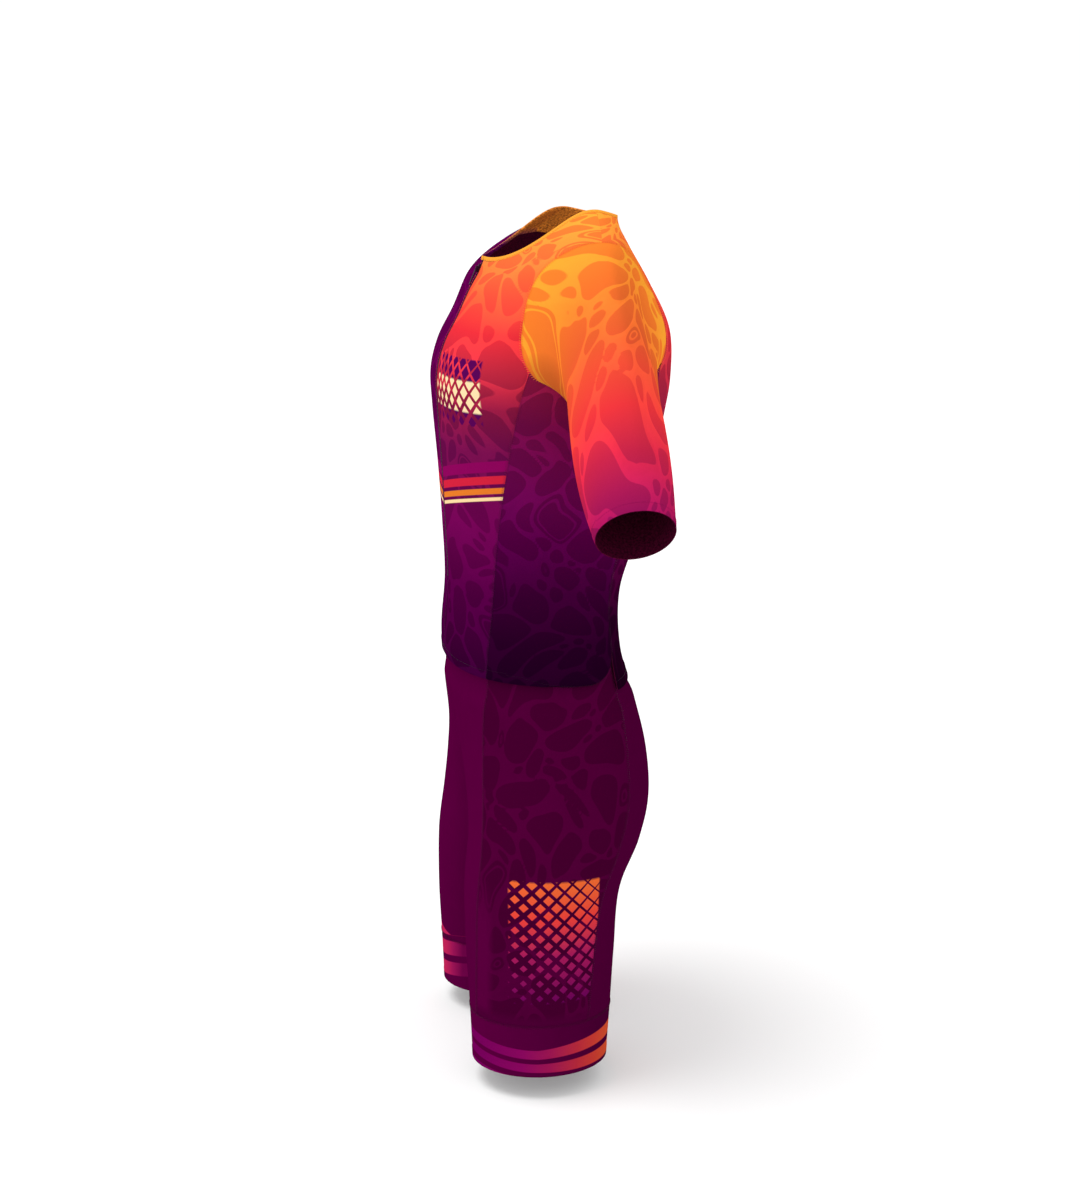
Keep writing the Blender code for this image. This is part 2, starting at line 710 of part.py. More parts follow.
def zip_rows(front):
    """The rows of the front panel along the zip, a little short at both ends."""
    first = len(hem_levels()) + CHEST_LEVELS.index(ZIP_BOTTOM_LEVEL)
    rows = front[first:-1].copy()
    rows[0] += ZIP_END_GAP * unit(rows[1] - rows[0])
    return rows


def zip_tapes(front):
    """Both zip tapes, each made from the panel's own edge points and moved in under it."""
    rows = zip_rows(front)
    across = (rows[:, 1] - rows[:, 0]) / (rows[:, 1, :1] - rows[:, 0, :1])
    near = rows[:, 0] + across * (CHAIN_HALF + SEAM_GAP - ZIP_OPENING_HALF)
    far = rows[:, 0] + across * (TAPE_EDGE - ZIP_OPENING_HALF)
    tapes = both_sides("zip_tape", "zip_tape", np.stack([near, far], axis=1))
    for tape in tapes:
        share_normals([tape])
        tape.points = tape.points - (CLOTH_WALL + TAPE_CLEARANCE) * tape.normals
    return tapes


def zip_line(front):
    """Middle line of the zip, level with the cloth, and the direction out of it."""
    points = zip_rows(front)[:, 0] * np.array([0.0, 1.0, 1.0])
    out = np.cross(np.gradient(points, axis=0), np.array([-1.0, 0.0, 0.0]))
    return points, unit(out)


def zip_chain(front):
    """Zip chain as a narrow strip between the tapes."""
    points, out = zip_line(front)
    side = np.array([CHAIN_HALF, 0.0, 0.0])
    level = points - CHAIN_SUNK * out
    chain = Piece("zip_chain", "zip_chain", np.stack([level - side, level + side], axis=1))
    share_normals([chain])
    return chain


def slider_frame(front):
    """Place and directions of the slider: centre on the cloth, up the zip and outwards."""
    line, out_of_cloth = zip_line(front)
    along = np.concatenate([[0], np.cumsum(np.linalg.norm(np.diff(line, axis=0), axis=1))])
    stop = along[-1] - SLIDER_BELOW_TOP
    centre = np.array([np.interp(stop, along, line[:, axis]) for axis in range(3)])
    out = unit(np.array([np.interp(stop, along, out_of_cloth[:, axis]) for axis in range(3)]))
    up = np.cross(out, np.array([1.0, 0.0, 0.0]))
    return centre, up if up[2] > 0 else -up, out


def prism(outline, low, high):
    """Points and faces of a flat outline, (across, up) pairs turning left, given a thickness."""
    count = len(outline)
    points = [(x, u, low) for x, u in outline] + [(x, u, high) for x, u in outline]
    faces = [tuple(range(count))[::-1], tuple(range(count, 2 * count))]
    for step in range(count):
        after = (step + 1) % count
        faces.append((step, after, after + count, step + count))
    return np.array(points, float), faces


def placed(points, frame):
    """Points given as across, up the zip and outwards, put at the slider."""
    centre, up, out = frame
    side = np.array([1.0, 0.0, 0.0])
    return centre + points[:, :1] * side + points[:, 1:2] * up + points[:, 2:] * out


def pull_axis_height():
    """Distance of the pull's axis from the cloth."""
    return SEAM_GAP + SLIDER_HEIGHT + PULL_CLEARANCE + PULL_THICKNESS / 2


def add_zip_slider(frame):
    """Slider body with its lug as one stepped prism."""
    half = SLIDER_WIDTH / 2
    nose = half - SLIDER_TAPER
    end = SLIDER_LENGTH / 2
    cut = SLIDER_CORNER
    outline = ((-nose, -end), (nose, -end), (half, 0.0), (half, end - cut), (half - cut, end),
               (cut - half, end), (-half, end - cut), (-half, 0.0))
    body, body_faces = prism(outline, SEAM_GAP, SEAM_GAP + SLIDER_HEIGHT)
    wide, deep = LUG_WIDTH / 2, LUG_LENGTH / 2
    square = ((-wide, -deep), (wide, -deep), (wide, deep), (-wide, deep))
    top = SEAM_GAP + SLIDER_HEIGHT
    lug, lug_faces = prism(square, top - LUG_ROOT, top + LUG_HEIGHT)
    base = add_object("zip_slider", "zip_metal", to_part_frame(placed(body, frame)), body_faces)
    tool = add_object("lug_tool", "zip_metal", to_part_frame(placed(lug, frame)), lug_faces)
    tool.hide_render = True
    tool.display_type = "WIRE"
    union = base.modifiers.new("lug", "BOOLEAN")
    union.operation = "UNION"
    union.object = tool
    return base


def add_zip_pull(frame):
    """Pull tab that forks round the lug and hangs down the zip, with its origin on its axis."""
    half = PULL_WIDTH / 2
    slot = LUG_WIDTH / 2 + SEAM_GAP
    cut = PULL_CORNER
    outline = ((cut - half, -PULL_LENGTH), (half - cut, -PULL_LENGTH), (half, cut - PULL_LENGTH),
               (half, PULL_NOSE), (slot, PULL_NOSE), (slot, -PULL_SLOT), (-slot, -PULL_SLOT),
               (-slot, PULL_NOSE), (-half, PULL_NOSE), (-half, cut - PULL_LENGTH))
    middle = pull_axis_height()
    points, faces = prism(outline, middle - PULL_THICKNESS / 2, middle + PULL_THICKNESS / 2)
    axis_point = to_part_frame(placed(np.array([[0.0, 0.0, middle]]), frame))[0]
    return add_object("zip_pull", "zip_metal", to_part_frame(placed(points, frame)), faces, axis_point)


def add_zip(front):
    for tape in zip_tapes(front):
        add_cloth(tape, TAPE_WALL)
    add_cloth(zip_chain(front), CHAIN_DEPTH)
    frame = slider_frame(front)
    add_zip_slider(frame)
    add_zip_pull(frame)


def clear_scene():
    for made in list(bpy.data.objects):
        bpy.data.objects.remove(made, do_unlink=True)


def build():
    """Every piece of the suit."""
    clear_scene()
    front, side, back = jersey_front(), jersey_side(), jersey_back()
    sleeve_points = sleeve(armhole_loop(front, side, back))
    body = [
        *both_sides("jersey_front", "front_print", front, sewn="start end"),
        *both_sides("jersey_side", "side_print", side, sewn="high start end"),
        Piece("jersey_back", "back_print", back, sewn="start end"),
    ]
    sleeves = both_sides("sleeve", "sleeve_print", sleeve_points, closed=True, sewn="low")
    shorts = [
        *both_sides("shorts_front", "shorts_plain", shorts_front(), sewn="low start end"),
        *both_sides("shorts_side", "shorts_print", shorts_side(), sewn="low start end"),
        *both_sides("shorts_back", "shorts_plain", shorts_back(), sewn="low start end"),
        *both_sides("leg_band", "band_print", leg_band(), closed=True, sewn="high"),
    ]
    share_normals(body, sleeves)
    share_normals(shorts)
    for piece in (*body, *sleeves, *shorts):
        add_cloth(piece)
    add_neck_binding(front, back)
    add_zip(front)


build()
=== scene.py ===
"""Looks of the cycling speed suit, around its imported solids.

Each piece of cloth is a fine shell on the form of its solid: the same level rings, seams and
sleeve threads, at a pitch of a few millimetres, with a thin wall, seam grooves, turned hems
and soft creases.  Thread, zip teeth, binding and metal parts are pieces of their own.
Surfaces are worked out in millimetres in the cutting frame (floor of the leg hems at zero)
and put into the part's frame, in metres, at the end.  +X is the wearer's left, -Y the front.
"""

import math

import bmesh
import bpy
import numpy as np
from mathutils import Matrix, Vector


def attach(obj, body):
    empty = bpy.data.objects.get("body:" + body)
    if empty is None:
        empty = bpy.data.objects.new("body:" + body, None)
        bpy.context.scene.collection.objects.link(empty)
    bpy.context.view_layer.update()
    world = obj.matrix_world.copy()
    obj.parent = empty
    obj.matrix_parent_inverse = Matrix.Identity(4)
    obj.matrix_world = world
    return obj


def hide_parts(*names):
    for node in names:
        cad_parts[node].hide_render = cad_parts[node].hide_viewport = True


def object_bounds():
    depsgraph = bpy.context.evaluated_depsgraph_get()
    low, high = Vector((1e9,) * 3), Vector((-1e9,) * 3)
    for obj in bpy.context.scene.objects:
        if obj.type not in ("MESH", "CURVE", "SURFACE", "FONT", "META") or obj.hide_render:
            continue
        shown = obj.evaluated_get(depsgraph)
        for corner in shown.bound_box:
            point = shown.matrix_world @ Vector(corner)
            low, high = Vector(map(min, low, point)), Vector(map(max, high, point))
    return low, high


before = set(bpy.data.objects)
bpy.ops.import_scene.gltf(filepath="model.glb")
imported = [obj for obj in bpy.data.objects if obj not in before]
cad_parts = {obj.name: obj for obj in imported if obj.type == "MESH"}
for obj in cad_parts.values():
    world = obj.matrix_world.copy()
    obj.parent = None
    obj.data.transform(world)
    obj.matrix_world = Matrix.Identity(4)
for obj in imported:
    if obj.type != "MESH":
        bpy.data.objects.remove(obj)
CAD_BOX = [list(corner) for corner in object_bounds()]

METRES_PER_MM = 0.001
CARRIED_AT = np.array([0.0, 20.0, 908.0])
FLIP = np.array([-1.0, 1.0, 1.0])

# Level rings of the surface, as the solids have them
RING_COLUMNS = (
    "z_front z_side z_back y_front y_side y_back inner outer "
    "square_front square_back dip front_seam back_seam"
).split()
RINGS = {
    "hem": (0, 0, 0, -117.5, -45, 30, 47, 180, 2.0, 2.0, 1.0, 16, 122),
    "band_top": (58, 58, 58, -120, -45, 34, 43, 183, 2.0, 2.0, 1.0, 18, 123),
    "low_thigh": (120, 120, 120, -123, -44, 38, 33, 187, 2.05, 2.05, 1.0, 23, 124),
    "mid_thigh": (190, 190, 190, -123, -38, 45, 14, 190, 2.1, 2.1, 1.0, 25, 125),
    "crotch": (245, 245, 245, -117, -28, 68, 0, 190, 2.15, 2.15, 1.0, 24, 125),
    "buttock": (290, 290, 290, -115, -15, 81, -40, 188, 2.2, 2.2, 1.0, 25, 123),
    "buttock_top": (340, 340, 340, -117, -5, 82, -110, 184, 2.3, 2.25, 1.0, 29, 119),
    "hip": (395, 395, 395, -125, 0, 71, -165, 176, 2.4, 2.3, 1.0, 37, 117),
    "pelvis": (450, 450, 450, -129, -2, 56, -163, 163, 2.4, 2.3, 1.0, 43, 118),
    "waist": (510, 510, 510, -125, -8, 58, -147, 147, 2.4, 2.3, 1.0, 47, 119),
    "ribs": (570, 570, 570, -127, -6, 79, -147, 147, 2.5, 2.3, 1.0, 51, 118),
    "chest_low": (635, 635, 635, -130, 0, 93, -156, 156, 2.8, 2.35, 1.0, 57, 119),
    "chest": (695, 695, 695, -134, 5, 104, -165, 165, 3.1, 2.4, 1.0, 64, 122),
    "armpit": (735, 738, 740, -135, 6, 111, -170, 170, 3.2, 2.4, 1.0, 69, 127),
    "scye_low": (768, 785, 790, -127, 5, 108, -176, 176, 3.0, 2.4, 1.0, 73, 133),
    "scye_high": (798, 835, 838, -112, 4, 84, -180, 180, 2.6, 2.3, 1.0, 76, 138),
    "shoulder": (826, 881, 872, -99, 7, 63, -178, 178, 2.3, 2.0, 0.8, 78, 140),
    "yoke": (842, 897, 887, -90, 14, 57, -136, 136, 2.3, 2.0, 1.2, 80, 140),
    "neck_base": (851, 905, 895, -86, 18, 57, -106, 106, 2.4, 2.0, 1.5, 80, 140),
    "neck": (856, 908, 899, -84, 20, 58, -88, 88, 2.45, 2.0, 1.6, 80, 140),
}
LEVEL = {name: float(index) for index, name in enumerate(RINGS)}
RING_TABLE = np.array(list(RINGS.values()), float)

# Edges and seams, in millimetres, levels and degrees
TAIL_HEIGHT = 418.0
HEM_HEIGHT = 427.0
VENT_HEIGHT = 460.0
SHORTS_TOP_HEIGHT = 490.0
JERSEY_OVER_SHORTS = 3.3
SHORTS_TUCK_BELOW = 25.0
SHORTS_TUCKED_BELOW = 5.0
VENT_CORNER = 38.0
VENT_SQUEEZE = 1.9
ZIP_BOTTOM_LEVEL = 9.0
ZIP_TOP_LEVEL = 18.6
ZIP_OPENING_HALF = 3.5
ZIP_END_GAP = 3.0
ARMHOLE_CENTRE = (LEVEL["armpit"] + LEVEL["shoulder"]) / 2
ARMHOLE_HALF = (LEVEL["shoulder"] - LEVEL["armpit"]) / 2
ARMHOLE_FRONT, ARMHOLE_FRONT_LEAN = 29.0, 0.18
ARMHOLE_BACK, ARMHOLE_BACK_LEAN = 51.0, 0.06
ARMHOLE_POWER = 3.0
ARMHOLE_SIDE_SEAM = 13.38
UNDERARM_BLEND_FROM = 11.5
UNDERARM_BLEND_POWER = 1.5
ARM_SPREAD = 46.5
SLEEVE_HEM_CENTRE = (343.0, 5.5, 617.0)
SLEEVE_HEM_RADIUS = 38.5
SLEEVE_BULGE = 8.5
SLEEVE_BULGE_SHIFT = 1.5
SLEEVE_FRONT_NARROWING = 10.0
SLEEVE_BACK_NARROWING = 3.0

# Levels of the front and back above the side seams: at the armhole or shoulder, and at the middle
RISE_EDGE = (13.38, 13.75, 14.25, 14.75, 15.2, 15.55, 15.8, 15.94, 16.0, 16.45, 17.0, 17.7, 18.4, 19.0)
RISE_MIDDLE = (13.38, 13.8, 14.4, 15.0, 15.5, 15.95, 16.35, 16.7, 17.0, 17.3, 17.7, 18.15, 18.6, 19.0)

# Cloth, in millimetres, and the lengths by which the lines of its grids are shared out
CLOTH_WALL = 0.9
PRINT_PITCH = 2.2
PLAIN_PITCH = 4.0
JERSEY_WIDTH, SIDE_WIDTH, SHORTS_WIDTH, SLEEVE_LENGTH = 175.0, 120.0, 150.0, 270.0
ARMHOLE_LINES, UNDERARM_LINES, BAND_LINES, VENT_LINES, SEAT_LINES = 46, 53, 195, 19, 30
SEAM_STEPS = np.array([0.0, 0.9, 2.0, 3.6])
GROOVE_DEPTH, GROOVE_WIDTH = 0.25, 1.3
SEAM_HELD = 0.6
HEM_FOLD, HEM_RAISED = 10.0, 0.35
ROW_SAMPLES = 160
HEIGHT_SAMPLES = 2401


def columns(level, names):
    """Named columns of the ring table at a level: a Catmull-Rom curve through its rows."""
    level = np.asarray(level, float)
    first = np.clip(np.floor(level).astype(int), 0, len(RING_TABLE) - 2)
    t = (level - first)[..., None]
    table = RING_TABLE
    padded = np.vstack([2 * table[0] - table[1], table, 2 * table[-1] - table[-2]])
    before, low, high, after = (padded[first + step] for step in range(4))
    values = 0.5 * (
        2 * low
        + (high - before) * t
        + (2 * before - 5 * low + 4 * high - after) * t**2
        + (3 * low - before - 3 * high + after) * t**3
    )
    return [values[..., RING_COLUMNS.index(name)] for name in names.split()]


def unit(vectors):
    return vectors / np.maximum(np.linalg.norm(vectors, axis=-1, keepdims=True), 1e-9)


def signed_power(value, power):
    return np.sign(value) * np.abs(value) ** power


def smooth_step(low, high, value):
    share = np.clip((value - low) / (high - low), 0, 1)
    return share**2 * (3 - 2 * share)


def bell(distance, width):
    return np.exp(-((distance / width) ** 2))


def soft_size(value, softness=0.15):
    """The size of a number from -1 to 1, with the kink at zero rounded off."""
    top = np.sqrt(1 + softness**2) - softness
    return np.clip((np.sqrt(value**2 + softness**2) - softness) / top, 0, 1)


def surface(angle, level):
    """Points of the suit on the wearer's left.

    A ring is a superellipse: its width runs with the sine of the angle and its depth with the
    cosine, each to the power two over the squareness.  Its height falls from the side to the
    front and back by one less (one less the softened cosine) to the power dip.
    """
    angle, level = np.broadcast_arrays(np.asarray(angle, float), np.asarray(level, float))
    z_front, z_side, z_back, y_front, y_side, y_back, inner, outer, square_front, square_back, dip = (
        columns(level, " ".join(RING_COLUMNS[:11]))
    )
    sine, cosine = np.sin(np.radians(angle)), np.cos(np.radians(angle))
    is_front = cosine >= 0
    power = 2 / np.where(is_front, square_front, square_back)
    fall = 1 - (1 - soft_size(cosine)) ** np.where(is_front, dip, 1.0)
    x = (inner + outer) / 2 + (outer - inner) / 2 * signed_power(sine, power)
    y = y_side + (np.where(is_front, y_front, y_back) - y_side) * np.abs(cosine) ** power
    z = z_side + (np.where(is_front, z_front, z_back) - z_side) * fall
    return np.stack([x, y, z], axis=-1)


def front_edge(level, x=0.0, squareness="square_front"):
    """Angle at which a ring's front reaches a distance from the middle plane."""
    inner, outer, square = columns(level, "inner outer " + squareness)
    reach = np.clip((x - (inner + outer) / 2) / ((outer - inner) / 2), -1, 1)
    return np.degrees(np.arcsin(signed_power(reach, square / 2)))


def level_at(height):
    """Level of a horizontal line at a height below the arms."""
    low = np.linspace(0, LEVEL["chest"], HEIGHT_SAMPLES)
    return float(np.interp(height, columns(low, "z_side")[0], low))


def superellipse(off):
    """Reach at a distance off the middle, from 1 there to 0 at its end."""
    return (1 - np.clip(off, 0, 1) ** ARMHOLE_POWER) ** (1 / ARMHOLE_POWER)


def armhole_front(level):
    """Angle of the armhole's front edge; its lean widens it with the level."""
    off = level - ARMHOLE_CENTRE
    return 90 - ARMHOLE_FRONT * (1 + ARMHOLE_FRONT_LEAN * off) * superellipse(np.abs(off) / ARMHOLE_HALF)


def armhole_back(level):
    """Angle of the armhole's back edge."""
    off = level - ARMHOLE_CENTRE
    return 90 + ARMHOLE_BACK * (1 + ARMHOLE_BACK_LEAN * off) * superellipse(np.abs(off) / ARMHOLE_HALF)


def armhole_floor(angle):
    """Level of the armhole's lower end between the two side seams."""
    reach = superellipse(np.abs(ARMHOLE_SIDE_SEAM - ARMHOLE_CENTRE) / ARMHOLE_HALF)
    wide_front = (90 - armhole_front(ARMHOLE_SIDE_SEAM)) / reach
    wide_back = (armhole_back(ARMHOLE_SIDE_SEAM) - 90) / reach
    off = np.abs(angle - 90) / np.where(angle < 90, wide_front, wide_back)
    return ARMHOLE_CENTRE - ARMHOLE_HALF * superellipse(off)


def side_seam(level, which):
    """Angle of the front or back side seam.  Its last point lies on the armhole."""
    level = np.asarray(level, float)
    armhole = armhole_front if which == "front_seam" else armhole_back
    at_end = np.abs(level - ARMHOLE_SIDE_SEAM) < 1e-6
    return np.where(at_end, armhole(level), columns(level, which)[0])


def length_along(points, axis):
    """Length from the first point along one axis of a grid."""
    steps = np.linalg.norm(np.diff(points, axis=axis), axis=-1)
    start = np.zeros_like(np.take(steps, [0], axis=axis))
    return np.concatenate([start, np.cumsum(steps, axis=axis)], axis=axis)


def interpolated(at, along, values):
    """Three columns of values at places along a line."""
    return np.stack([np.interp(at, along, values[:, axis]) for axis in range(3)], axis=1)


def odd_count(values):
    """The same values, with one more between the first two where their number is even."""
    if len(values) % 2:
        return values
    return np.insert(values, 1, (values[0] + values[1]) / 2)


def shares(length, pitch, sewn_start=True, sewn_end=True):
    """Places from 0 to 1 along a length, at a pitch, closer together next to a seam."""
    start = SEAM_STEPS[-1] if sewn_start else 0.0
    end = SEAM_STEPS[-1] if sewn_end else 0.0
    count = max(2, int(round((length - start - end) / pitch)))
    places = np.linspace(start, length - end, count + 1)
    if sewn_start:
        places = np.concatenate([SEAM_STEPS[:-1], places])
    if sewn_end:
        places = np.concatenate([places, length - SEAM_STEPS[:-1][::-1]])
    return odd_count(places) / length


def rows_between(start, end, places):
    """Angles and levels of a grid: each row runs from one angle and level to another.

    A row is cut at the given shares of its length.
    """
    along_line = np.linspace(0, 1, ROW_SAMPLES)
    angles, levels = (low[:, None] + (high - low)[:, None] * along_line for low, high in zip(start, end))
    along = length_along(surface(angles, levels), 1)
    cut = np.array([
        (np.interp(places * total[-1], total, angle), np.interp(places * total[-1], total, level))
        for total, angle, level in zip(along, angles, levels)
    ])
    return cut[:, 0], cut[:, 1]


def levels_between(low, high, sewn_low=False, sewn_high=False, pitch=PRINT_PITCH, angle=60.0):
    """Levels between two others, at a pitch along the surface at one angle."""
    fine = np.linspace(low, high, HEIGHT_SAMPLES)
    along = length_along(surface(angle, fine), 0)
    return np.interp(shares(along[-1], pitch, sewn_low, sewn_high) * along[-1], along, fine)


def mirrored(points):
    """The same grid on the wearer's right, with its columns turned round."""
    return points[:, ::-1] * FLIP


def armhole_levels():
    """Levels up the armhole from the side seam to the shoulder, closer together near the top."""
    drop = np.linspace(1, 0, ARMHOLE_LINES) ** 2
    return LEVEL["shoulder"] - (LEVEL["shoulder"] - ARMHOLE_SIDE_SEAM) * drop


def levels_above(low):
    """Levels of a front's or the back's rows, at its outer edge and at the middle."""
    body = levels_between(low, ARMHOLE_SIDE_SEAM)[:-1]
    yoke = levels_between(LEVEL["shoulder"], LEVEL["neck"], angle=90.0)
    edge = odd_count(np.concatenate([body, armhole_levels(), yoke[1:]]))
    return edge, np.where(edge > ARMHOLE_SIDE_SEAM, np.interp(edge, RISE_EDGE, RISE_MIDDLE), edge)


def outer_edge(edge, armhole, seam):
    """Angle of the outer edge: the side seam, then the armhole, then the shoulder line."""
    angle = np.where(edge > ARMHOLE_SIDE_SEAM, armhole(edge), side_seam(edge, seam))
    return np.where(edge >= LEVEL["shoulder"], 90.0, angle)


def jersey_front():
    """Left front: rows from the zip's edge to the side seam, armhole or shoulder."""
    edge, middle = levels_above(level_at(HEM_HEIGHT))
    start = np.where(middle >= ZIP_BOTTOM_LEVEL, front_edge(middle, ZIP_OPENING_HALF), front_edge(middle))
    end = outer_edge(edge, armhole_front, "front_seam")
    return surface(*rows_between((start, middle), (end, edge), shares(JERSEY_WIDTH, PRINT_PITCH)))


def jersey_side():
    """Left side: the hem's rear corner is rounded, and the top follows the armhole's floor."""
    low, high = level_at(HEM_HEIGHT), level_at(VENT_HEIGHT)
    corner = low + (high - low) * np.linspace(0, 1, VENT_LINES) ** 2
    levels = odd_count(
        np.concatenate([corner, levels_between(high, ARMHOLE_SIDE_SEAM, sewn_high=True)[1:]])
    )
    start, end = side_seam(levels, "front_seam"), side_seam(levels, "back_seam")
    angles = rows_between((start, levels), (end, levels), shares(SIDE_WIDTH, PRINT_PITCH))[0]
    down = np.clip((high - levels) / (high - low), 0, 1)[:, None]
    spread = (angles - start[:, None]) / (end - start)[:, None]
    angles = angles - VENT_CORNER * (1 - np.sqrt(1 - down**2)) * spread**VENT_SQUEEZE
    rise = np.clip((levels - UNDERARM_BLEND_FROM) / (ARMHOLE_SIDE_SEAM - UNDERARM_BLEND_FROM), 0, 1)
    spread = (angles - start[:, None]) / (end - start)[:, None]
    seam_front, seam_back = armhole_front(ARMHOLE_SIDE_SEAM), armhole_back(ARMHOLE_SIDE_SEAM)
    sink = ARMHOLE_SIDE_SEAM - armhole_floor(seam_front + spread * (seam_back - seam_front))
    return surface(angles, levels[:, None] - sink * rise[:, None] ** UNDERARM_BLEND_POWER)


def jersey_back():
    """Whole back, from side seam to side seam, with a tail below the hem."""
    edge, middle = levels_above(level_at(TAIL_HEIGHT))
    start = outer_edge(edge, armhole_back, "back_seam")
    places = shares(JERSEY_WIDTH, PRINT_PITCH, sewn_end=False)
    left = surface(*rows_between((start, edge), (np.full_like(middle, 180.0), middle), places))
    return np.concatenate([left, mirrored(left)[:, 1:]], axis=1)


def armhole_line():
    """Points of the armhole: down the front, under the arm and up the back."""
    levels = armhole_levels()
    ends = armhole_front(ARMHOLE_SIDE_SEAM), armhole_back(ARMHOLE_SIDE_SEAM)
    under = np.linspace(*ends, UNDERARM_LINES)[1:-1]
    angles = np.concatenate([armhole_front(levels[::-1]), under, armhole_back(levels)[:-1]])
    return surface(angles, np.concatenate([levels[::-1], armhole_floor(under), levels[:-1]]))


def sleeve():
    """Sleeve as smooth threads from each armhole point to the round hem.

    A thread is a cubic that leaves along the shoulder on top and along the arm below, and
    arrives along the arm.  Its depth falls to the hem's by a power of what is left of the way,
    and a sine's bulge stands out past the middle.  The first thread is under the arm, where the
    print's ends meet.
    """
    loop = armhole_line()
    spread = np.radians(ARM_SPREAD)
    arm = np.array([np.sin(spread), 0.0, -np.cos(spread)])
    up = np.array([np.cos(spread), 0.0, np.sin(spread)])
    front = np.array([0.0, -1.0, 0.0])
    along = length_along(np.vstack([loop, loop[:1]]), 0)
    lowest = int(np.argmin(loop[:, 2]))
    turn = np.interp(along[:-1], [0, along[lowest], along[-1]], [0, np.pi, 2 * np.pi])
    around = np.cos(turn)[:, None] * up + np.sin(turn)[:, None] * front
    hem = np.array(SLEEVE_HEM_CENTRE) + SLEEVE_HEM_RADIUS * around
    shoulder_line = unit(surface(90.0, LEVEL["shoulder"]) - surface(90.0, LEVEL["shoulder"] + 1))
    leave = arm + (shoulder_line - arm) * np.cos(turn / 2)[:, None] ** 2
    reach = np.linalg.norm(hem - loop, axis=1)[:, None]
    frontness = np.sqrt((1 + np.sin(turn)) / 2)
    narrowing = SLEEVE_BACK_NARROWING + (SLEEVE_FRONT_NARROWING - SLEEVE_BACK_NARROWING) * frontness
    t = shares(SLEEVE_LENGTH, PRINT_PITCH)[:, None, None]
    thread = (
        (2 * t**3 - 3 * t**2 + 1) * loop
        + (t**3 - 2 * t**2 + t) * reach * leave
        + (3 * t**2 - 2 * t**3) * hem
        + (t**3 - t**2) * reach * arm
    )
    thread[:, :, 1] = hem[:, 1] + (loop[:, 1] - hem[:, 1]) * (1 - t[:, :, 0]) ** narrowing
    thread = thread + SLEEVE_BULGE * np.sin(np.pi * t**SLEEVE_BULGE_SHIFT) * around
    return np.roll(thread, -lowest, axis=1)


def tucked(angles, levels):
    """Shorts points, drawn in where the jersey lies over them."""
    start, end = level_at(TAIL_HEIGHT - SHORTS_TUCK_BELOW), level_at(TAIL_HEIGHT - SHORTS_TUCKED_BELOW)
    points = surface(angles, levels)
    across = surface(angles + 0.5, levels) - surface(angles - 0.5, levels)
    along = surface(angles, levels + 0.02) - surface(angles, levels - 0.02)
    amount = smooth_step(start, end, levels)
    moved = points - JERSEY_OVER_SHORTS * amount[..., None] * unit(np.cross(across, along))
    moved[..., 0] = np.where(np.abs(points[..., 0]) < 0.001, 0.0, moved[..., 0])
    return moved


def shorts_edges(level):
    """Angles of the shorts' edges: the front's middle, the two side seams and the back's middle."""
    above = level >= LEVEL["crotch"]
    return (
        np.where(above, front_edge(level), -90.0),
        side_seam(level, "front_seam"),
        side_seam(level, "back_seam"),
        np.where(above, 180 - front_edge(level, 0.0, "square_back"), 270.0),
    )


def shorts_panel(number, pitch):
    """A panel between one of the shorts' edges and the next, from the leg band to the top."""
    crotch, seat = LEVEL["crotch"], LEVEL["buttock_top"]
    levels = odd_count(np.concatenate([
        levels_between(LEVEL["band_top"], crotch, sewn_low=True, pitch=pitch),
        crotch + (seat - crotch) * np.linspace(0, 1, SEAT_LINES)[1:] ** 1.5,
        levels_between(seat, level_at(SHORTS_TOP_HEIGHT), pitch=pitch)[1:],
    ]))
    start, end = shorts_edges(levels)[number:number + 2]
    return tucked(*rows_between((start, levels), (end, levels), shares(SHORTS_WIDTH, pitch)))


def leg_band():
    """Hem band of one leg, all round."""
    levels = levels_between(LEVEL["hem"], LEVEL["band_top"], sewn_high=True)
    start = np.full_like(levels, -90.0)
    places = np.linspace(0, 1, BAND_LINES)
    return surface(*rows_between((start, levels), (start + 360, levels), places))[:, :-1]


def grid_normals(points, closed):
    """Outward direction at each grid point: the cross product of its two central differences."""
    if closed:
        wide = np.concatenate([points[:, -1:], points, points[:, :1]], axis=1)
        across = wide[:, 2:] - wide[:, :-2]
    else:
        across = np.gradient(points, axis=1)
    return unit(np.cross(across, np.gradient(points, axis=0)))


def in_part_frame(points):
    """Metres from the point where the wearer carries the suit."""
    return (points - CARRIED_AT) * METRES_PER_MM


# Soft creases, on the wearer's left and mirrored: a line, and its width and height across it
CREASES = (
    ((172, -52, 742), (214, -38, 706), 6.0, 1.0),
    ((176, -58, 764), (232, -40, 724), 7.0, -0.8),
    ((176, 60, 748), (228, 48, 704), 7.0, 1.1),
    ((172, 78, 772), (240, 60, 722), 8.0, -0.9),
    ((166, -60, 722), (120, -118, 690), 9.0, 0.7),
    ((168, -66, 752), (128, -120, 742), 9.0, -0.6),
    ((166, 84, 730), (120, 104, 700), 10.0, 0.8),
    ((10, -118, 262), (70, -122, 300), 7.0, 1.0),
    ((14, -118, 238), (84, -124, 256), 8.0, -0.8),
    ((16, -112, 216), (78, -122, 214), 8.0, 0.8),
    ((30, 70, 262), (130, 62, 236), 9.0, 1.2),
    ((40, 60, 240), (140, 40, 208), 9.0, -0.9),
    ((140, -40, 520), (150, 30, 508), 8.0, 0.7),
    ((142, -50, 498), (154, 20, 492), 8.0, -0.6),
    ((60, -122, 470), (130, -84, 486), 9.0, 0.7),
    ((262, -32, 662), (300, -8, 690), 6.0, 0.6),
)


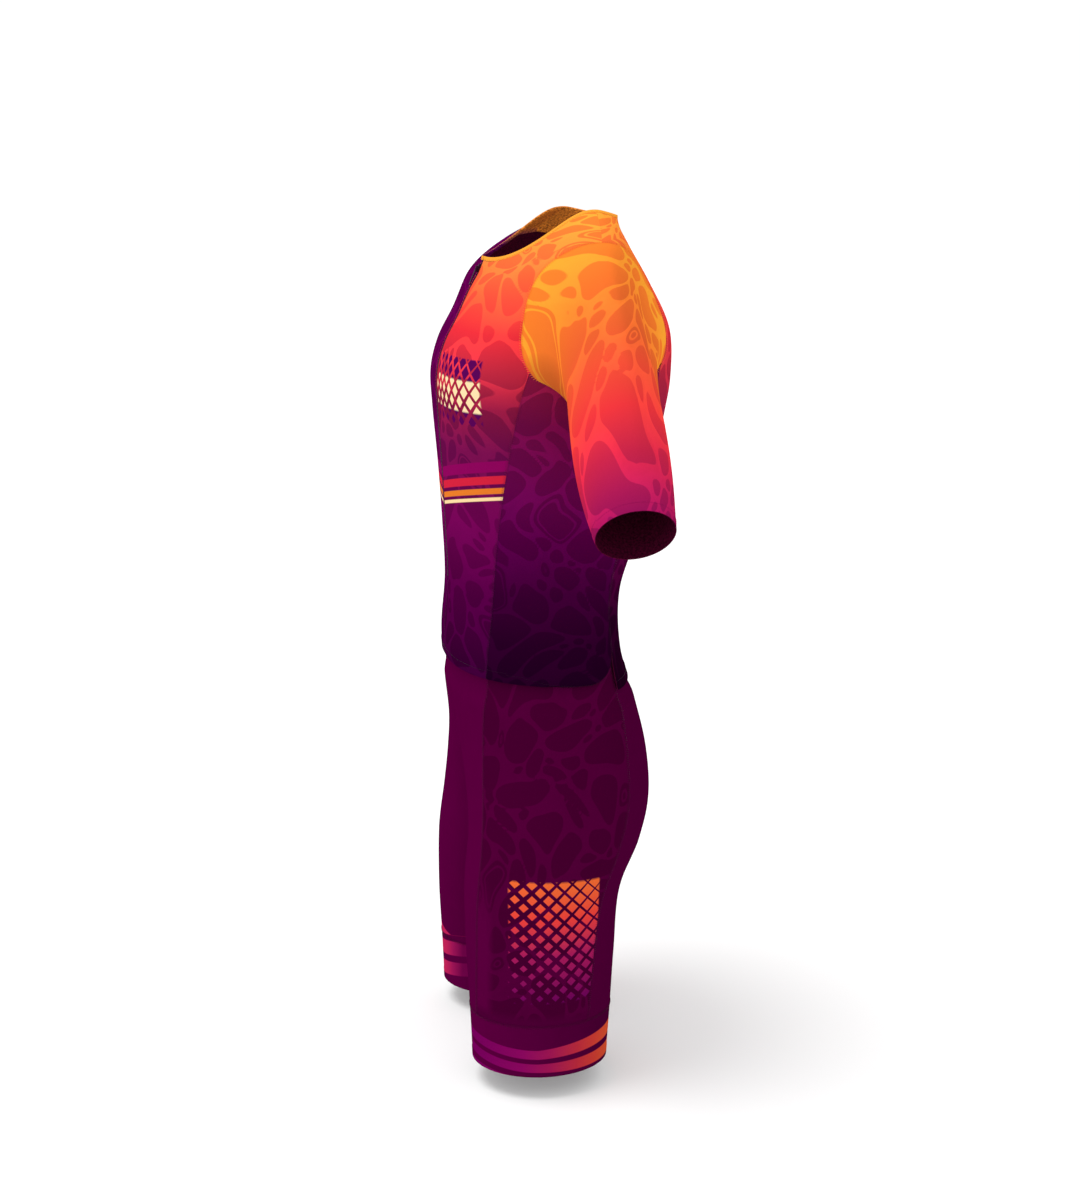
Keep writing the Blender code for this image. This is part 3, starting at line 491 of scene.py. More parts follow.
def crease_height(points):
    """Sum over the creases of a bell curve across each line, which fades at its ends."""
    points = np.concatenate([np.abs(points[..., :1]), points[..., 1:]], axis=-1)
    total = np.zeros(points.shape[:-1])
    for start, end, width, height in CREASES:
        start = np.array(start, float)
        line = np.array(end, float) - start
        inside = np.clip(np.sum((points - start) * line, axis=-1) / np.sum(line**2), 0, 1)
        away = np.linalg.norm(points - start - inside[..., None] * line, axis=-1)
        fade = np.sin(np.pi * np.clip(0.5 + (inside - 0.5) * 0.9, 0, 1))
        total += height * fade * bell(away, width)
    return total


class Cloth:
    """A piece of cloth: its grid of outer points, its flat sizes and how its edges are finished.

    across and up are the lengths on the cloth from its first column and its first row.  A
    groove runs along each sewn edge, whose own line stays where it is, and a hem is raised.
    """

    def __init__(self, name, points, closed, sewn, hemmed):
        self.name, self.closed, self.fields = name, closed, {}
        self.across, self.up = length_along(points, 1), length_along(points, 0)
        lift = crease_height(points)
        for edge in sewn.split():
            lift = lift - GROOVE_DEPTH * bell(self.from_edge(edge), GROOVE_WIDTH)
        for edge in hemmed.split():
            lift = lift + HEM_RAISED * smooth_step(HEM_FOLD + 1, HEM_FOLD - 1, self.from_edge(edge))
        for edge in sewn.split():
            lift = lift * (1 - bell(self.from_edge(edge), SEAM_HELD))
        self.points = points + lift[..., None] * grid_normals(points, closed)
        self.normals = grid_normals(self.points, closed)

    def from_edge(self, edge):
        """Length on the cloth from one of its four edges."""
        return {
            "start": self.across,
            "end": self.across[:, -1:] - self.across,
            "low": self.up,
            "high": self.up[-1:] - self.up,
        }[edge]

    def size(self):
        """Width, length and area on the cloth, in metres."""
        points = self.points
        if self.closed:
            points = np.concatenate([points, points[:, :1]], axis=1)
        width, length = length_along(points, 1)[:, -1].max(), length_along(points, 0)[-1].max()
        diagonals = points[1:, 1:] - points[:-1, :-1], points[1:, :-1] - points[:-1, 1:]
        area = np.linalg.norm(np.cross(*diagonals), axis=-1).sum() / 2
        return width / 1000, length / 1000, area / 1e6


# Cells of the print: sites are short lines with a radius that tapers, in three sizes, each with
# its lowest and highest radius, half its length, the gap around it and how often it is tried
CELL_SIZES = ((11.0, 17.0, 16.0, 3.0, 500), (5.0, 8.5, 9.0, 2.6, 700), (2.4, 4.4, 3.5, 2.6, 420))
CELL_TAPER = 0.42
CELL_SOFTNESS = 2.2
CELL_REACH = 6.0
CELL_WAVES = ((150.0, 13.0), (83.0, 6.0), (47.0, 2.6))
CELL_BATCH = 4096
PRINT_SCALES = {"jersey_front": (1.5, 1.1), "sleeve": (1.3, 1.2)}


def from_lines(places, sites):
    """Distance of each place to each site's line, less the site's radius there."""
    off = places[:, None] - sites[None, :, :2]
    along = np.sum(off * sites[None, :, 2:4], axis=-1)
    along = np.clip(along, -sites[None, :, 4], sites[None, :, 4])
    away = off - along[..., None] * sites[None, :, 2:4]
    return np.linalg.norm(away, axis=-1) - sites[None, :, 5] - sites[None, :, 6] * along


def cell_sites(low, high, draw):
    """Sites thrown one by one and kept where they are clear of the others.

    A row holds the middle, the direction, half the length, the radius and its taper.
    """
    sites = np.zeros((0, 7))
    for radius_low, radius_high, half_length, gap, tries in CELL_SIZES:
        for _ in range(tries):
            centre = draw.uniform(low - 10, high + 10)
            turn = draw.uniform(0, np.pi)
            half = half_length * draw.uniform(0, 1) ** 1.5
            radius = draw.uniform(radius_low, radius_high)
            taper = draw.uniform(-CELL_TAPER, CELL_TAPER)
            direction = np.array([np.cos(turn), np.sin(turn)])
            steps = np.linspace(-half, half, 7)
            line = centre + np.outer(steps, direction)
            if len(sites) and (from_lines(line, sites).min(axis=1) - radius - taper * steps).min() < gap:
                continue
            sites = np.vstack([sites, [*centre, *direction, half, radius, taper]])
    return sites


def warped(places, draw):
    """Places moved by a few sine waves of random direction and phase."""
    moved = places.copy()
    for length, height in CELL_WAVES:
        turns = draw.uniform(0, 2 * np.pi, 4)
        for axis in (0, 1):
            direction = np.array([np.cos(turns[axis]), np.sin(turns[axis])])
            phase = places @ direction * 2 * np.pi / length + turns[axis + 2]
            moved[:, axis] += height * np.sin(phase)
    return moved


def print_places(cloth, widened, lengthened):
    """Places of the grid in the print: its lengths, or on a tube shares of the mean lengths."""
    across, up = cloth.across, cloth.up
    if cloth.closed:
        across = across / across[:, -1:] * across[:, -1].mean()
        up = up / up[-1:] * up[-1].mean()
    return np.stack([across / widened, up / lengthened], axis=-1).reshape(-1, 2)


def add_cells(cloth, seed, widened=1.0, lengthened=1.0):
    """Print cells on a piece, as half the smoothed gap between the two nearest sites.

    The gap is the negative log of a sum of exponentials: one of the other distances, so that
    the webs between cells swell where three of them meet, and one that ends a cell at a reach
    from its own site, which rounds its corners.  Each cell has its own tone.
    """
    draw = np.random.default_rng(seed)
    places = warped(print_places(cloth, widened, lengthened), draw)
    sites = cell_sites(places.min(0), places.max(0), draw)
    tones = draw.uniform(0, 1, len(sites))
    gap, tone = np.empty(len(places)), np.empty(len(places))
    for first in range(0, len(places), CELL_BATCH):
        batch = slice(first, first + CELL_BATCH)
        away = from_lines(places[batch], sites)
        nearest = away.min(axis=1)
        others = np.exp(-(away - nearest[:, None]) / CELL_SOFTNESS).sum(axis=1) - 1
        spill = np.exp((nearest - CELL_REACH) / CELL_SOFTNESS)
        gap[batch] = -CELL_SOFTNESS * np.log(np.sqrt(np.maximum(others, 0)) + spill)
        tone[batch] = tones[away.argmin(axis=1)]
    cloth.fields = {"cell_gap": gap, "cell_tone": tone, "up_share": (cloth.up / cloth.up[-1:]).ravel()}


def put_mesh(name, points, faces, materials, slots=None, smooth=True):
    """A mesh object from points in metres in the part's frame."""
    mesh = bpy.data.meshes.new(name)
    mesh.from_pydata(np.asarray(points).tolist(), [], faces)
    for material in materials:
        mesh.materials.append(material)
    if slots is not None:
        mesh.polygons.foreach_set("material_index", slots)
    mesh.update()
    mesh.polygons.foreach_set("use_smooth", [smooth] * len(mesh.polygons))
    return linked(bpy.data.objects.new(name, mesh))


def linked(made):
    bpy.context.scene.collection.objects.link(made)
    return made


def carried(made, node=None, body="suit"):
    """A piece that rides on a body and the node that it stands for."""
    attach(made, body)
    if node:
        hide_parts(node)


def closed_index(index):
    """Point numbers of a grid or of rings, with the first column again at the end."""
    return np.concatenate([index, index[..., :1]], axis=-1)


def grid_faces(index):
    """Quads of a grid of point numbers."""
    corners = (index[:-1, :-1], index[:-1, 1:], index[1:, 1:], index[1:, :-1])
    return np.stack([corner.ravel() for corner in corners], axis=1)


def tube_faces(index):
    """Quads round many tubes, from their point numbers by tube, station and corner."""
    ring = closed_index(index)
    quads = (ring[:, :-1, :-1], ring[:, 1:, :-1], ring[:, 1:, 1:], ring[:, :-1, 1:])
    return np.stack(quads, axis=-1).reshape(-1, 4)


def add_cloth(cloth, outside, inside, node):
    """The shell of a piece: the outer grid, an inner grid of half as many lines, and rims."""
    rows, count = cloth.points.shape[:2]
    coarse = np.ix_(np.arange(0, rows, 2), np.arange(0, count, 2))

    def both(grid):
        """Values of the outer grid and then of the inner one."""
        width = grid.shape[2:]
        return np.concatenate([grid.reshape(-1, *width), grid[coarse].reshape(-1, *width)])

    points = both(cloth.points)
    points[rows * count:] -= CLOTH_WALL * both(cloth.normals)[rows * count:]
    number = np.arange(len(points))
    outer = number[:rows * count].reshape(rows, count)
    inner = number[rows * count:].reshape(outer[::2, ::2].shape)
    if cloth.closed:
        outer, inner = closed_index(outer), closed_index(inner)
    borders = [(outer[0], inner[0]), (outer[-1][::-1], inner[-1][::-1])]
    if not cloth.closed:
        borders += [(outer[:, 0][::-1], inner[:, 0][::-1]), (outer[:, -1], inner[:, -1])]
    rims = np.concatenate([
        np.stack([line[2::2], line[1:-1:2], line[:-2:2], back[:-1], back[1:]], axis=1)
        for line, back in borders
    ])
    outer_faces, inner_faces = grid_faces(outer), grid_faces(inner[:, ::-1])
    faces = [*outer_faces.tolist(), *inner_faces.tolist(), *rims.tolist()]
    slots = (np.arange(len(faces)) >= len(outer_faces)).astype(int)
    made = put_mesh(cloth.name, in_part_frame(points), faces, [outside, inside], slots)
    mesh = made.data
    flat = both(np.stack([cloth.across, cloth.up], axis=-1) * METRES_PER_MM)
    corner = np.empty(len(mesh.loops), int)
    mesh.loops.foreach_get("vertex_index", corner)
    mesh.uv_layers.new(name="flat").data.foreach_set("uv", flat[corner].ravel())
    for name, values in cloth.fields.items():
        field = mesh.attributes.new(name, "FLOAT", "POINT")
        field.data.foreach_set("value", both(values.reshape(rows, count)))
    mesh.set_sharp_from_angle(angle=math.radians(50))
    carried(made, node)
    width, length, area = cloth.size()


# Half the soft edge of a printed line, in metres
PRINT_EDGE = 0.0004


class Value:
    """A shader socket on which Python's operators add Math nodes."""

    def __init__(self, tree, socket):
        self.tree, self.socket = tree, socket

    def math(self, operation, *others):
        inputs = dict(enumerate((self, *others)))
        return self.tree.node("ShaderNodeMath", {"operation": operation}, inputs)

    def __add__(self, other):
        return self.math("ADD", other)

    def __sub__(self, other):
        return self.math("SUBTRACT", other)

    def __rsub__(self, other):
        return (self * -1.0) + other

    def __mul__(self, other):
        return self.math("MULTIPLY", other)

    def __truediv__(self, other):
        return self.math("DIVIDE", other)

    def __abs__(self):
        return self.math("ABSOLUTE")

    __radd__, __rmul__ = __add__, __mul__

    def step(self, low, high):
        """0 below low and 1 above high, with a straight rise between."""
        inputs = {"Value": self, "From Min": low, "From Max": high}
        return self.tree.node("ShaderNodeMapRange", {"clamp": True}, inputs)

    def between(self, low, high, edge=PRINT_EDGE):
        """1 between two values, with soft edges."""
        return self.step(low - edge, low + edge) * self.step(high + edge, high - edge)


class Tree:
    """A node tree, and the one way in which nodes come into it."""

    def __init__(self, owner):
        owner.use_nodes = True
        self.nodes, self.links = owner.node_tree.nodes, owner.node_tree.links

    def node(self, kind, settings=None, inputs=None, output=0):
        """A node of a kind: its settings first, then the values or links of its sockets."""
        made = self.nodes.new(kind)
        for name, value in (settings or {}).items():
            setattr(made, name, value)
        for name, value in (inputs or {}).items():
            if isinstance(value, Value):
                self.links.new(value.socket, made.inputs[name])
            else:
                made.inputs[name].default_value = value
        return Value(self, made.outputs[output])

    def axes(self, vector, names):
        """Single coordinates of a vector."""
        return [self.node("ShaderNodeSeparateXYZ", inputs={"Vector": vector}, output=axis) for axis in names]


class Paint(Tree):
    """A Principled material, and the nodes that feed it."""

    def __init__(self, name, **sockets):
        self.material = bpy.data.materials.new(name)
        super().__init__(self.material)
        self.shader = self.nodes["Principled BSDF"]
        for socket, value in sockets.items():
            self.shader.inputs[socket.replace("_", " ")].default_value = value

    def feed(self, socket, value):
        self.links.new(value.socket, self.shader.inputs[socket])

    def place(self):
        """Object coordinates, in metres, as three values."""
        return self.axes(self.node("ShaderNodeTexCoord", output="Object"), "XYZ")

    def flat(self):
        """Lengths on the cloth, in metres, as two values."""
        return self.axes(self.node("ShaderNodeUVMap", {"uv_map": "flat"}), "XY")

    def field(self, name):
        return self.node("ShaderNodeAttribute", {"attribute_name": name}, output="Fac")

    def mix(self, share, first, second):
        """The second colour over the first, by a share."""
        settings = {"data_type": "RGBA", "blend_type": "MIX"}
        return self.node("ShaderNodeMix", settings, {0: share, 6: first, 7: second}, 2)

    def ramp(self, share, stops):
        """Colour by a share from 0 to 1, through stops of a place and a display colour."""
        made = self.node("ShaderNodeValToRGB", inputs={"Fac": share})
        elements = self.nodes[-1].color_ramp.elements
        for place, _ in stops[2:]:
            elements.new(place)
        for element, (place, colour) in zip(elements, stops):
            element.position, element.color = place, linear(*colour)
        return made

    def noise(self, size, detail=2.0):
        """Noise from 0 to 1 with features of a size in metres, on Object coordinates."""
        coordinates = self.node("ShaderNodeTexCoord", output="Object")
        inputs = {"Vector": coordinates, "Scale": 1 / size, "Detail": detail}
        return self.node("ShaderNodeTexNoise", None, inputs)

    def bump(self, height, relief, strength):
        inputs = {"Height": height, "Distance": relief, "Strength": strength}
        self.feed("Normal", self.node("ShaderNodeBump", None, inputs))


# Light on the suit, as a share of the light that would show a colour as it is
LIGHT_LEVEL = 1.08
BLACK = (0.0, 0.0, 0.0, 1.0)
WHITE = (1.0, 1.0, 1.0, 1.0)


def linear(red, green, blue, share=1.0):
    """A share of the paint for a display colour of 0 to 255, which the light brings back to it."""
    values = np.array([red, green, blue]) / 255
    values = np.where(values <= 0.04045, values / 12.92, ((values + 0.055) / 1.055) ** 2.4)
    return (*(values / LIGHT_LEVEL * share).tolist(), 1.0)


# Print colours down the suit: height in metres in the part's frame, web colour, cell colour
WEB, CELL = 1, 2
FRONT_TONES = (
    (0.0, (255, 168, 56), (246, 130, 48)),
    (-0.05, (255, 136, 62), (250, 106, 56)),
    (-0.085, (255, 100, 60), (246, 78, 58)),
    (-0.12, (252, 63, 63), (226, 46, 56)),
    (-0.155, (234, 54, 72), (188, 40, 62)),
    (-0.195, (152, 28, 68), (124, 21, 60)),
    (-0.24, (120, 16, 78), (98, 11, 69)),
    (-0.32, (114, 5, 84), (98, 3, 72)),
    (-0.40, (84, 0, 68), (70, 0, 56)),
    (-0.48, (60, 0, 54), (46, 0, 42)),
)
RIGHT_FRONT_TONES = (
    (0.0, (96, 0, 76), (84, 0, 66)),
    (-0.20, (100, 4, 80), (86, 2, 68)),
    (-0.32, (112, 5, 84), (98, 3, 72)),
    (-0.40, (90, 0, 74), (76, 0, 61)),
    (-0.48, (66, 0, 58), (52, 0, 46)),
)
BACK_TONES = (
    (0.0, (255, 165, 56), (244, 128, 48)),
    (-0.06, (255, 112, 60), (244, 84, 56)),
    (-0.11, (250, 70, 66), (224, 50, 58)),
    (-0.17, (206, 46, 70), (166, 36, 62)),
    (-0.26, (140, 18, 76), (112, 12, 66)),
    (-0.34, (92, 4, 66), (74, 0, 54)),
    (-0.42, (48, 0, 40), (34, 0, 30)),
    (-0.49, (34, 0, 28), (24, 0, 22)),
)
# The sleeve's colours run along it instead: shares of the way from the armhole to the hem
SLEEVE_TONES = (
    (0.0, (255, 170, 52), (250, 132, 46)),
    (0.2, (255, 142, 49), (236, 112, 44)),
    (0.38, (255, 116, 51), (226, 94, 46)),
    (0.5, (255, 95, 57), (234, 78, 52)),
    (0.65, (255, 69, 64), (232, 53, 59)),
    (0.8, (228, 44, 75), (194, 36, 70)),
    (0.92, (198, 32, 90), (164, 25, 80)),
    (1.0, (172, 22, 92), (142, 18, 82)),
)
SIDE_TONES = (
    (-0.16, (160, 30, 76), (130, 22, 62)),
    (-0.21, (122, 14, 78), (102, 12, 66)),
    (-0.28, (112, 7, 86), (94, 5, 70)),
    (-0.33, (90, 1, 74), (76, 0, 60)),
    (-0.39, (63, 0, 54), (53, 0, 45)),
    (-0.44, (46, 0, 41), (36, 0, 33)),
    (-0.49, (34, 0, 32), (25, 0, 26)),
)
SHORTS_TONES = ((-0.44, (77, 0, 52), (65, 0, 43)), (-0.84, (77, 0, 52), (65, 0, 43)))
SHORTS_FRONT_COLOUR = (84, 0, 57)
SHORTS_BACK_COLOUR = (75, 0, 51)
SHORTS_HEM_COLOUR = (72, 0, 49)
BAND_COLOUR, BAND_BACK_COLOUR = (88, 0, 60), (72, 0, 50)
BAND_FADE = (-0.13, 0.0)
PLAIN_BEFORE, PLAIN_FROM, PLAIN_BY_BAND = (-0.122, -0.129), (-0.69, -0.74), (-0.834, -0.844)
CELL_WEB, CELL_WEB_CHANGE, CELL_EDGE = 0.85, 1.0, 0.25
RING_INSIDE, RING_HALF, RING_SHARE = 5.2, 0.8, 0.94
CLOTH_SHEEN = dict(Specular_IOR_Level=0.0, Sheen_Weight=0.03, Sheen_Roughness=0.4)
# Spot under the arm round which painted shade darkens the sleeves' print, and its reach, in metres
ARMPIT = (0.165, -0.062, -0.176)
ARMPIT_SHADE_REACH = 0.045
KNIT_WIDTH = 0.0011
KNIT_LENGTH = 0.0008
TAPE_RIB = 0.0009
PATCH = 0.02
THREAD_GRAIN = 0.0006


def wave(length, pitch):
    """Sine of a length, with one turn a pitch."""
    return (length * (2 * math.pi / pitch)).math("SINE")


def add_knit(paint):
    """Fine knit: the height of a stitch is the product of two sines of the flat lengths."""
    across, up = paint.flat()
    paint.bump(wave(across, KNIT_WIDTH) * wave(up, KNIT_LENGTH), 0.00006, 0.5)
    paint.feed("Roughness", paint.noise(PATCH, 3.0) * 0.12 + 0.54)


def finished(paint, colour):
    """Knitted cloth of a colour."""
    paint.feed("Base Color", colour)
    add_knit(paint)
    return paint.material


def down_ramp(paint, at, tones, column):
    """Colour of one column of a tone table, by the height or the share of the way."""
    top, bottom = tones[0][0], tones[-1][0]
    stops = [((tone[0] - top) / (bottom - top), tone[column]) for tone in tones]
    return paint.ramp(at.step(top, bottom), stops)


def cell_ink(paint):
    """1 inside a print cell and 0 on the web, with a ring left open inside a few cells."""
    gap = paint.field("cell_gap")
    web = paint.noise(0.06, 1.0) * CELL_WEB_CHANGE + CELL_WEB
    inside = (gap - web).step(-CELL_EDGE, CELL_EDGE)
    ring = abs(gap - RING_INSIDE).step(RING_HALF + CELL_EDGE, RING_HALF - CELL_EDGE)
    few = paint.field("cell_tone").step(RING_SHARE, RING_SHARE + 0.01)
    return inside * (1 - ring * few)


def printed(name, tones):
    """Cloth with a print of cells, tone on tone, that darkens down the suit."""
    paint = Paint(name, Sheen_Tint=linear(*tones[len(tones) // 2][WEB]), **CLOTH_SHEEN)
    at = paint.field("up_share") if tones is SLEEVE_TONES else paint.place()[2]
    web, cell = (down_ramp(paint, at, tones, column) for column in (WEB, CELL))
    colour = paint.mix(cell_ink(paint), web, cell)
    return paint, paint.mix(paint.field("cell_tone") * 0.06, colour, BLACK)


def cloth_material(name, tones, shade_centre=None):
    """Printed cloth, with painted shade: a little deeper in tone around a spot on both sides of the suit."""
    paint, colour = printed(name, tones)
    if shade_centre:
        x, y, height = paint.place()
        away = [abs(x) - shade_centre[0], y - shade_centre[1], height - shade_centre[2]]
        away = away[0] * away[0] + away[1] * away[1] + away[2] * away[2]
        # Painted shade: up to half of a dark amber-brown is mixed in near the spot
        colour = paint.mix(away.step(ARMPIT_SHADE_REACH**2, 0.0) * 0.5, colour, linear(120, 46, 30))
    return finished(paint, colour)


# Plain slanted stripes across the front: low edge and width in metres, and colour
CHEST_STRIPES = (
    (-0.3130, 0.0035, (250, 214, 160)),
    (-0.3060, 0.0060, (226, 120, 40)),
    (-0.2960, 0.0085, (205, 34, 60)),
    (-0.2835, 0.0110, (136, 6, 88)),
)
CHEST_STRIPE_SLANT = 0.18

# Fields of diamonds: low and high corner in two coordinates, and pitch, in metres
CHEST_DIAMONDS = (0.008, -0.214), (0.136, -0.146), 0.0200
CHEST_CREAM = (-0.200, -0.168, 0.001)
THIGH_DIAMONDS = (-0.108, -0.822), (-0.012, -0.686), 0.0170
THIGH_STOPS = (
    (0.0, (232, 104, 48)),
    (0.3, (226, 62, 56)),
    (0.6, (160, 26, 86)),
    (1.0, (100, 4, 84)),
)


def diamond_share(first, second, low, high, pitch):
    """1 in a field of diamonds that grow along both coordinates, and 0 around them.

    A diamond holds the points whose two distances from its centre add up to less than its
    size, on a grid turned so that every other row is moved by half a pitch.
    """
    along = (first - low[0]) / (high[0] - low[0])
    up = (second - low[1]) / (high[1] - low[1])
    off_a, off_b = (
        abs((turned / pitch).math("FRACT") - 0.5) for turned in (first + second, first - second)
    )
    size = along * 0.16 + up * 0.12 + 0.17
    inside = (size - off_a.math("MAXIMUM", off_b)).step(-0.015, 0.015)
    across = along.between(0.0, 1.0, 0.01)
    return inside * across * up.step(-0.01, 0.01) * up.step(1.01, 0.99)


def front_material(name, tones, has_diamonds):
    """Front: the print, plain slanted stripes over the ribs and a field of diamonds above."""
    paint, colour = printed(name, tones)
    x, _, height = paint.place()
    slanted = height - abs(x) * CHEST_STRIPE_SLANT
    for low, width, ink in CHEST_STRIPES:
        colour = paint.mix(slanted.between(low, low + width), colour, linear(*ink))
    if has_diamonds:
        diamonds = diamond_share(paint.flat()[0], height, *CHEST_DIAMONDS)
        ink = paint.mix(height.between(*CHEST_CREAM), linear(84, 6, 82), linear(250, 220, 170))
        colour = paint.mix(diamonds, colour, ink)
    return finished(paint, colour)


def shorts_side_material():
    """Shorts side: the print, plain by its front seam and the leg band, and a field of diamonds."""
    paint, colour = printed("shorts_side_print", SHORTS_TONES)
    y, height = paint.place()[1:]
    fade = paint.ramp(height.step(THIGH_DIAMONDS[1][1], THIGH_DIAMONDS[0][1]), THIGH_STOPS)
    by_seam = y.step(*PLAIN_BEFORE) * height.step(*PLAIN_FROM)
    colour = paint.mix(by_seam, colour, linear(*SHORTS_FRONT_COLOUR))
    colour = paint.mix(height.step(*PLAIN_BY_BAND), colour, linear(*SHORTS_HEM_COLOUR))
    return finished(paint, paint.mix(diamond_share(y, height, *THIGH_DIAMONDS), colour, fade))


def uneven(paint, colour, patch, share):
    """A colour and a share of it in soft patches of a size."""
    return paint.mix(paint.noise(patch, 3.0), linear(*colour, share), linear(*colour))


def plain_material(name, colour, patch=PATCH):
    """Plain knit or thread, a little uneven in tone."""
    paint = Paint(name, Sheen_Tint=linear(*colour), **CLOTH_SHEEN)
    paint.feed("Base Color", uneven(paint, colour, patch, 0.9))
    if patch > KNIT_WIDTH:
        add_knit(paint)
    return paint.material


# Hoops of the leg bands: low and high edge over the hem in metres, and colours front to back
LEG_HEM_BELOW = float(CARRIED_AT[2] * METRES_PER_MM)
LEFT_HOOPS = ((-0.0115, -0.0012), (0.0054, 0.0152), (0.0207, 0.0311))
RIGHT_HOOPS = ((0.0068, 0.0234), (0.0320, 0.0498))
RIGHT_WEDGE = (0.0577, 0.0720)
WEDGE_MIDDLE, WEDGE_HALF = 0.117, 0.033
HOOP_FRONT, HOOP_BACK = -0.1375, 0.01
KNEE_FORWARD, KNEE_DROP, KNEE_CURVE, KNEE_WIDENING = 0.077, 0.045, 1.6, 5.5
RIGHT_LEG_OUT, RIGHT_SLOPE, RIGHT_CURVE = 0.115, 0.15, 1.3
LEFT_HOOP_COLOURS = (
    (0.0, (111, 1, 86)),
    (0.3, (134, 8, 92)),
    (0.5, (154, 22, 80)),
    (0.7, (182, 42, 60)),
    (0.85, (200, 60, 50)),
    (1.0, (214, 84, 44)),
)
RIGHT_HOOP_COLOURS = (
    (0.0, (184, 34, 84)),
    (0.04, (152, 20, 84)),
    (0.105, (108, 5, 70)),
    (0.6, (124, 6, 88)),
    (1.0, (200, 60, 50)),
)


def left_lift(_, y, height):
    """Height over the left hem, less the rise of its hoops.

    A hoop rises with the square of the depth before the knee line.  Behind the line, hoops drop
    with the depth and widen by a share of their height that grows with it.
    """
    behind, before = ((y + KNEE_FORWARD).math(side, 0.0) for side in ("MAXIMUM", "MINIMUM"))
    lift = height + LEG_HEM_BELOW + behind * KNEE_DROP - before * before * KNEE_CURVE
    return lift / (behind * KNEE_WIDENING + 1.0)


def right_lift(x, _, height):
    """Height over the right hem, less the rise of its hoops towards the inner side."""
    inwards = x + RIGHT_LEG_OUT
    return height + LEG_HEM_BELOW - inwards * RIGHT_SLOPE - inwards * inwards * RIGHT_CURVE


def right_front_material(colour):
    """Plain front of the right leg, with a short wedge over its hoops that tapers sideways."""
    paint = Paint("shorts_front_wedge", Sheen_Tint=linear(*colour), **CLOTH_SHEEN)
    place = paint.place()
    taper = abs(place[0] + WEDGE_MIDDLE).step(WEDGE_HALF, 0.0)
    over = right_lift(*place) - RIGHT_WEDGE[0]
    width = taper * (RIGHT_WEDGE[1] - RIGHT_WEDGE[0])
    wedge = over.step(-PRINT_EDGE, PRINT_EDGE) * (width - over).step(-PRINT_EDGE, PRINT_EDGE)
    plain = uneven(paint, colour, PATCH, 0.9)
    return finished(paint, paint.mix(wedge, plain, linear(*RIGHT_HOOP_COLOURS[0][1])))


def band_material(name, hoops, colours, lift_of):
    """Leg band with hoops whose height over the hem is a function of the place."""
    paint = Paint(name, Sheen_Tint=linear(*BAND_COLOUR), **CLOTH_SHEEN)
    place = paint.place()
    y, lift = place[1], lift_of(*place)
    hoop = paint.ramp(y.step(HOOP_FRONT, HOOP_BACK), colours)
    plain = paint.mix(y.step(*BAND_FADE), linear(*BAND_COLOUR), linear(*BAND_BACK_COLOUR))
    colour = paint.mix(paint.noise(PATCH, 3.0) * 0.15, plain, BLACK)
    for low, high in hoops:
        colour = paint.mix(lift.between(low, high), colour, hoop)
    return finished(paint, colour)


def inside_material(name, upper, lower, top=-0.02, bottom=-0.12, glow=0.5, unlit_below=-2.0):
    """Inner side of the cloth: the print shows through the mesh, darker and speckled.

    The glow is painted light: the share of its colour that the inside emits, above a height, for the light
    that comes through the mesh.
    """
    paint = Paint(name, Roughness=0.85, Specular_IOR_Level=0.0, Emission_Strength=glow)
    height = paint.place()[2]
    base = paint.mix(height.step(top, bottom), linear(*upper), linear(*lower))
    speckle = paint.noise(0.0022, 1.0).step(0.3, 0.7) * 0.75
    colour = paint.mix(speckle, base, (0.01, 0.001, 0.006, 1.0))
    paint.feed("Base Color", colour)
    # Painted light: the inside emits its own colour above a height
    lit = height.step(unlit_below, unlit_below + 0.06)
    paint.feed("Emission Color", paint.mix(lit, BLACK, colour))
    return paint.material


def thread_material(name, tones):
    """Polyester thread in the tone of the cloth that it holds."""
    paint = Paint(name, Roughness=0.5, Specular_IOR_Level=0.1)
    colour = down_ramp(paint, paint.place()[2], tones, WEB)
    paint.feed("Base Color", paint.mix(paint.noise(THREAD_GRAIN) * 0.3, colour, (0.02, 0.0, 0.01, 1.0)))
    return paint.material


def dark_material(name, colour, roughness, grain):
    """Dark moulded or enamelled finish, a little uneven in gloss."""
    paint = Paint(name, Metallic=0.0, Specular_IOR_Level=0.08)
    paint.feed("Base Color", paint.mix(paint.noise(grain, 3.0), linear(*colour), linear(*colour, 1.8)))
    paint.feed("Roughness", paint.noise(grain, 3.0) * 0.2 + roughness)
    return paint.material


def tape_material():
    """Woven tape: ribs across it, from a sine of the height."""
    paint = Paint("zip_tape_weave", Roughness=0.75)
    rib = wave(paint.place()[2], TAPE_RIB)
    paint.feed("Base Color", paint.mix(rib * 0.5 + 0.5, linear(20, 17, 22), linear(40, 34, 42)))
    paint.bump(rib, 0.0001, 0.6)
    return paint.material


# Thread: bars across a seam, and runs along a hem, in millimetres
THREAD_RADIUS = 0.17
BAR_PITCH, BAR_HALF, BAR_SLANT = 2.4, 2.3, 0.8
RUN_PITCH, RUN_HALF = 3.0, 1.1
LINE_TRIM = 1.5
HEM_STITCH = 8.5
STATIONS = np.linspace(-1, 1, 5)


def resampled(line, direction, pitch):
    """Points, outward directions and directions ahead at a pitch along a line."""
    along = length_along(line, 0)
    at = np.arange(LINE_TRIM, along[-1] - LINE_TRIM, pitch)
    ahead = interpolated(at + 0.5, along, line) - interpolated(at - 0.5, along, line)
    return interpolated(at, along, line), unit(interpolated(at, along, direction)), unit(ahead)


def bars(line, out):
    """Bars of thread across a line."""
    centre, up, along = resampled(line, out, BAR_PITCH)
    reach = BAR_HALF * unit(np.cross(up, along)) + BAR_SLANT * along
    return thread_tubes(centre, reach, up, 0.1 + 0.3 * (1 - STATIONS**2), along)


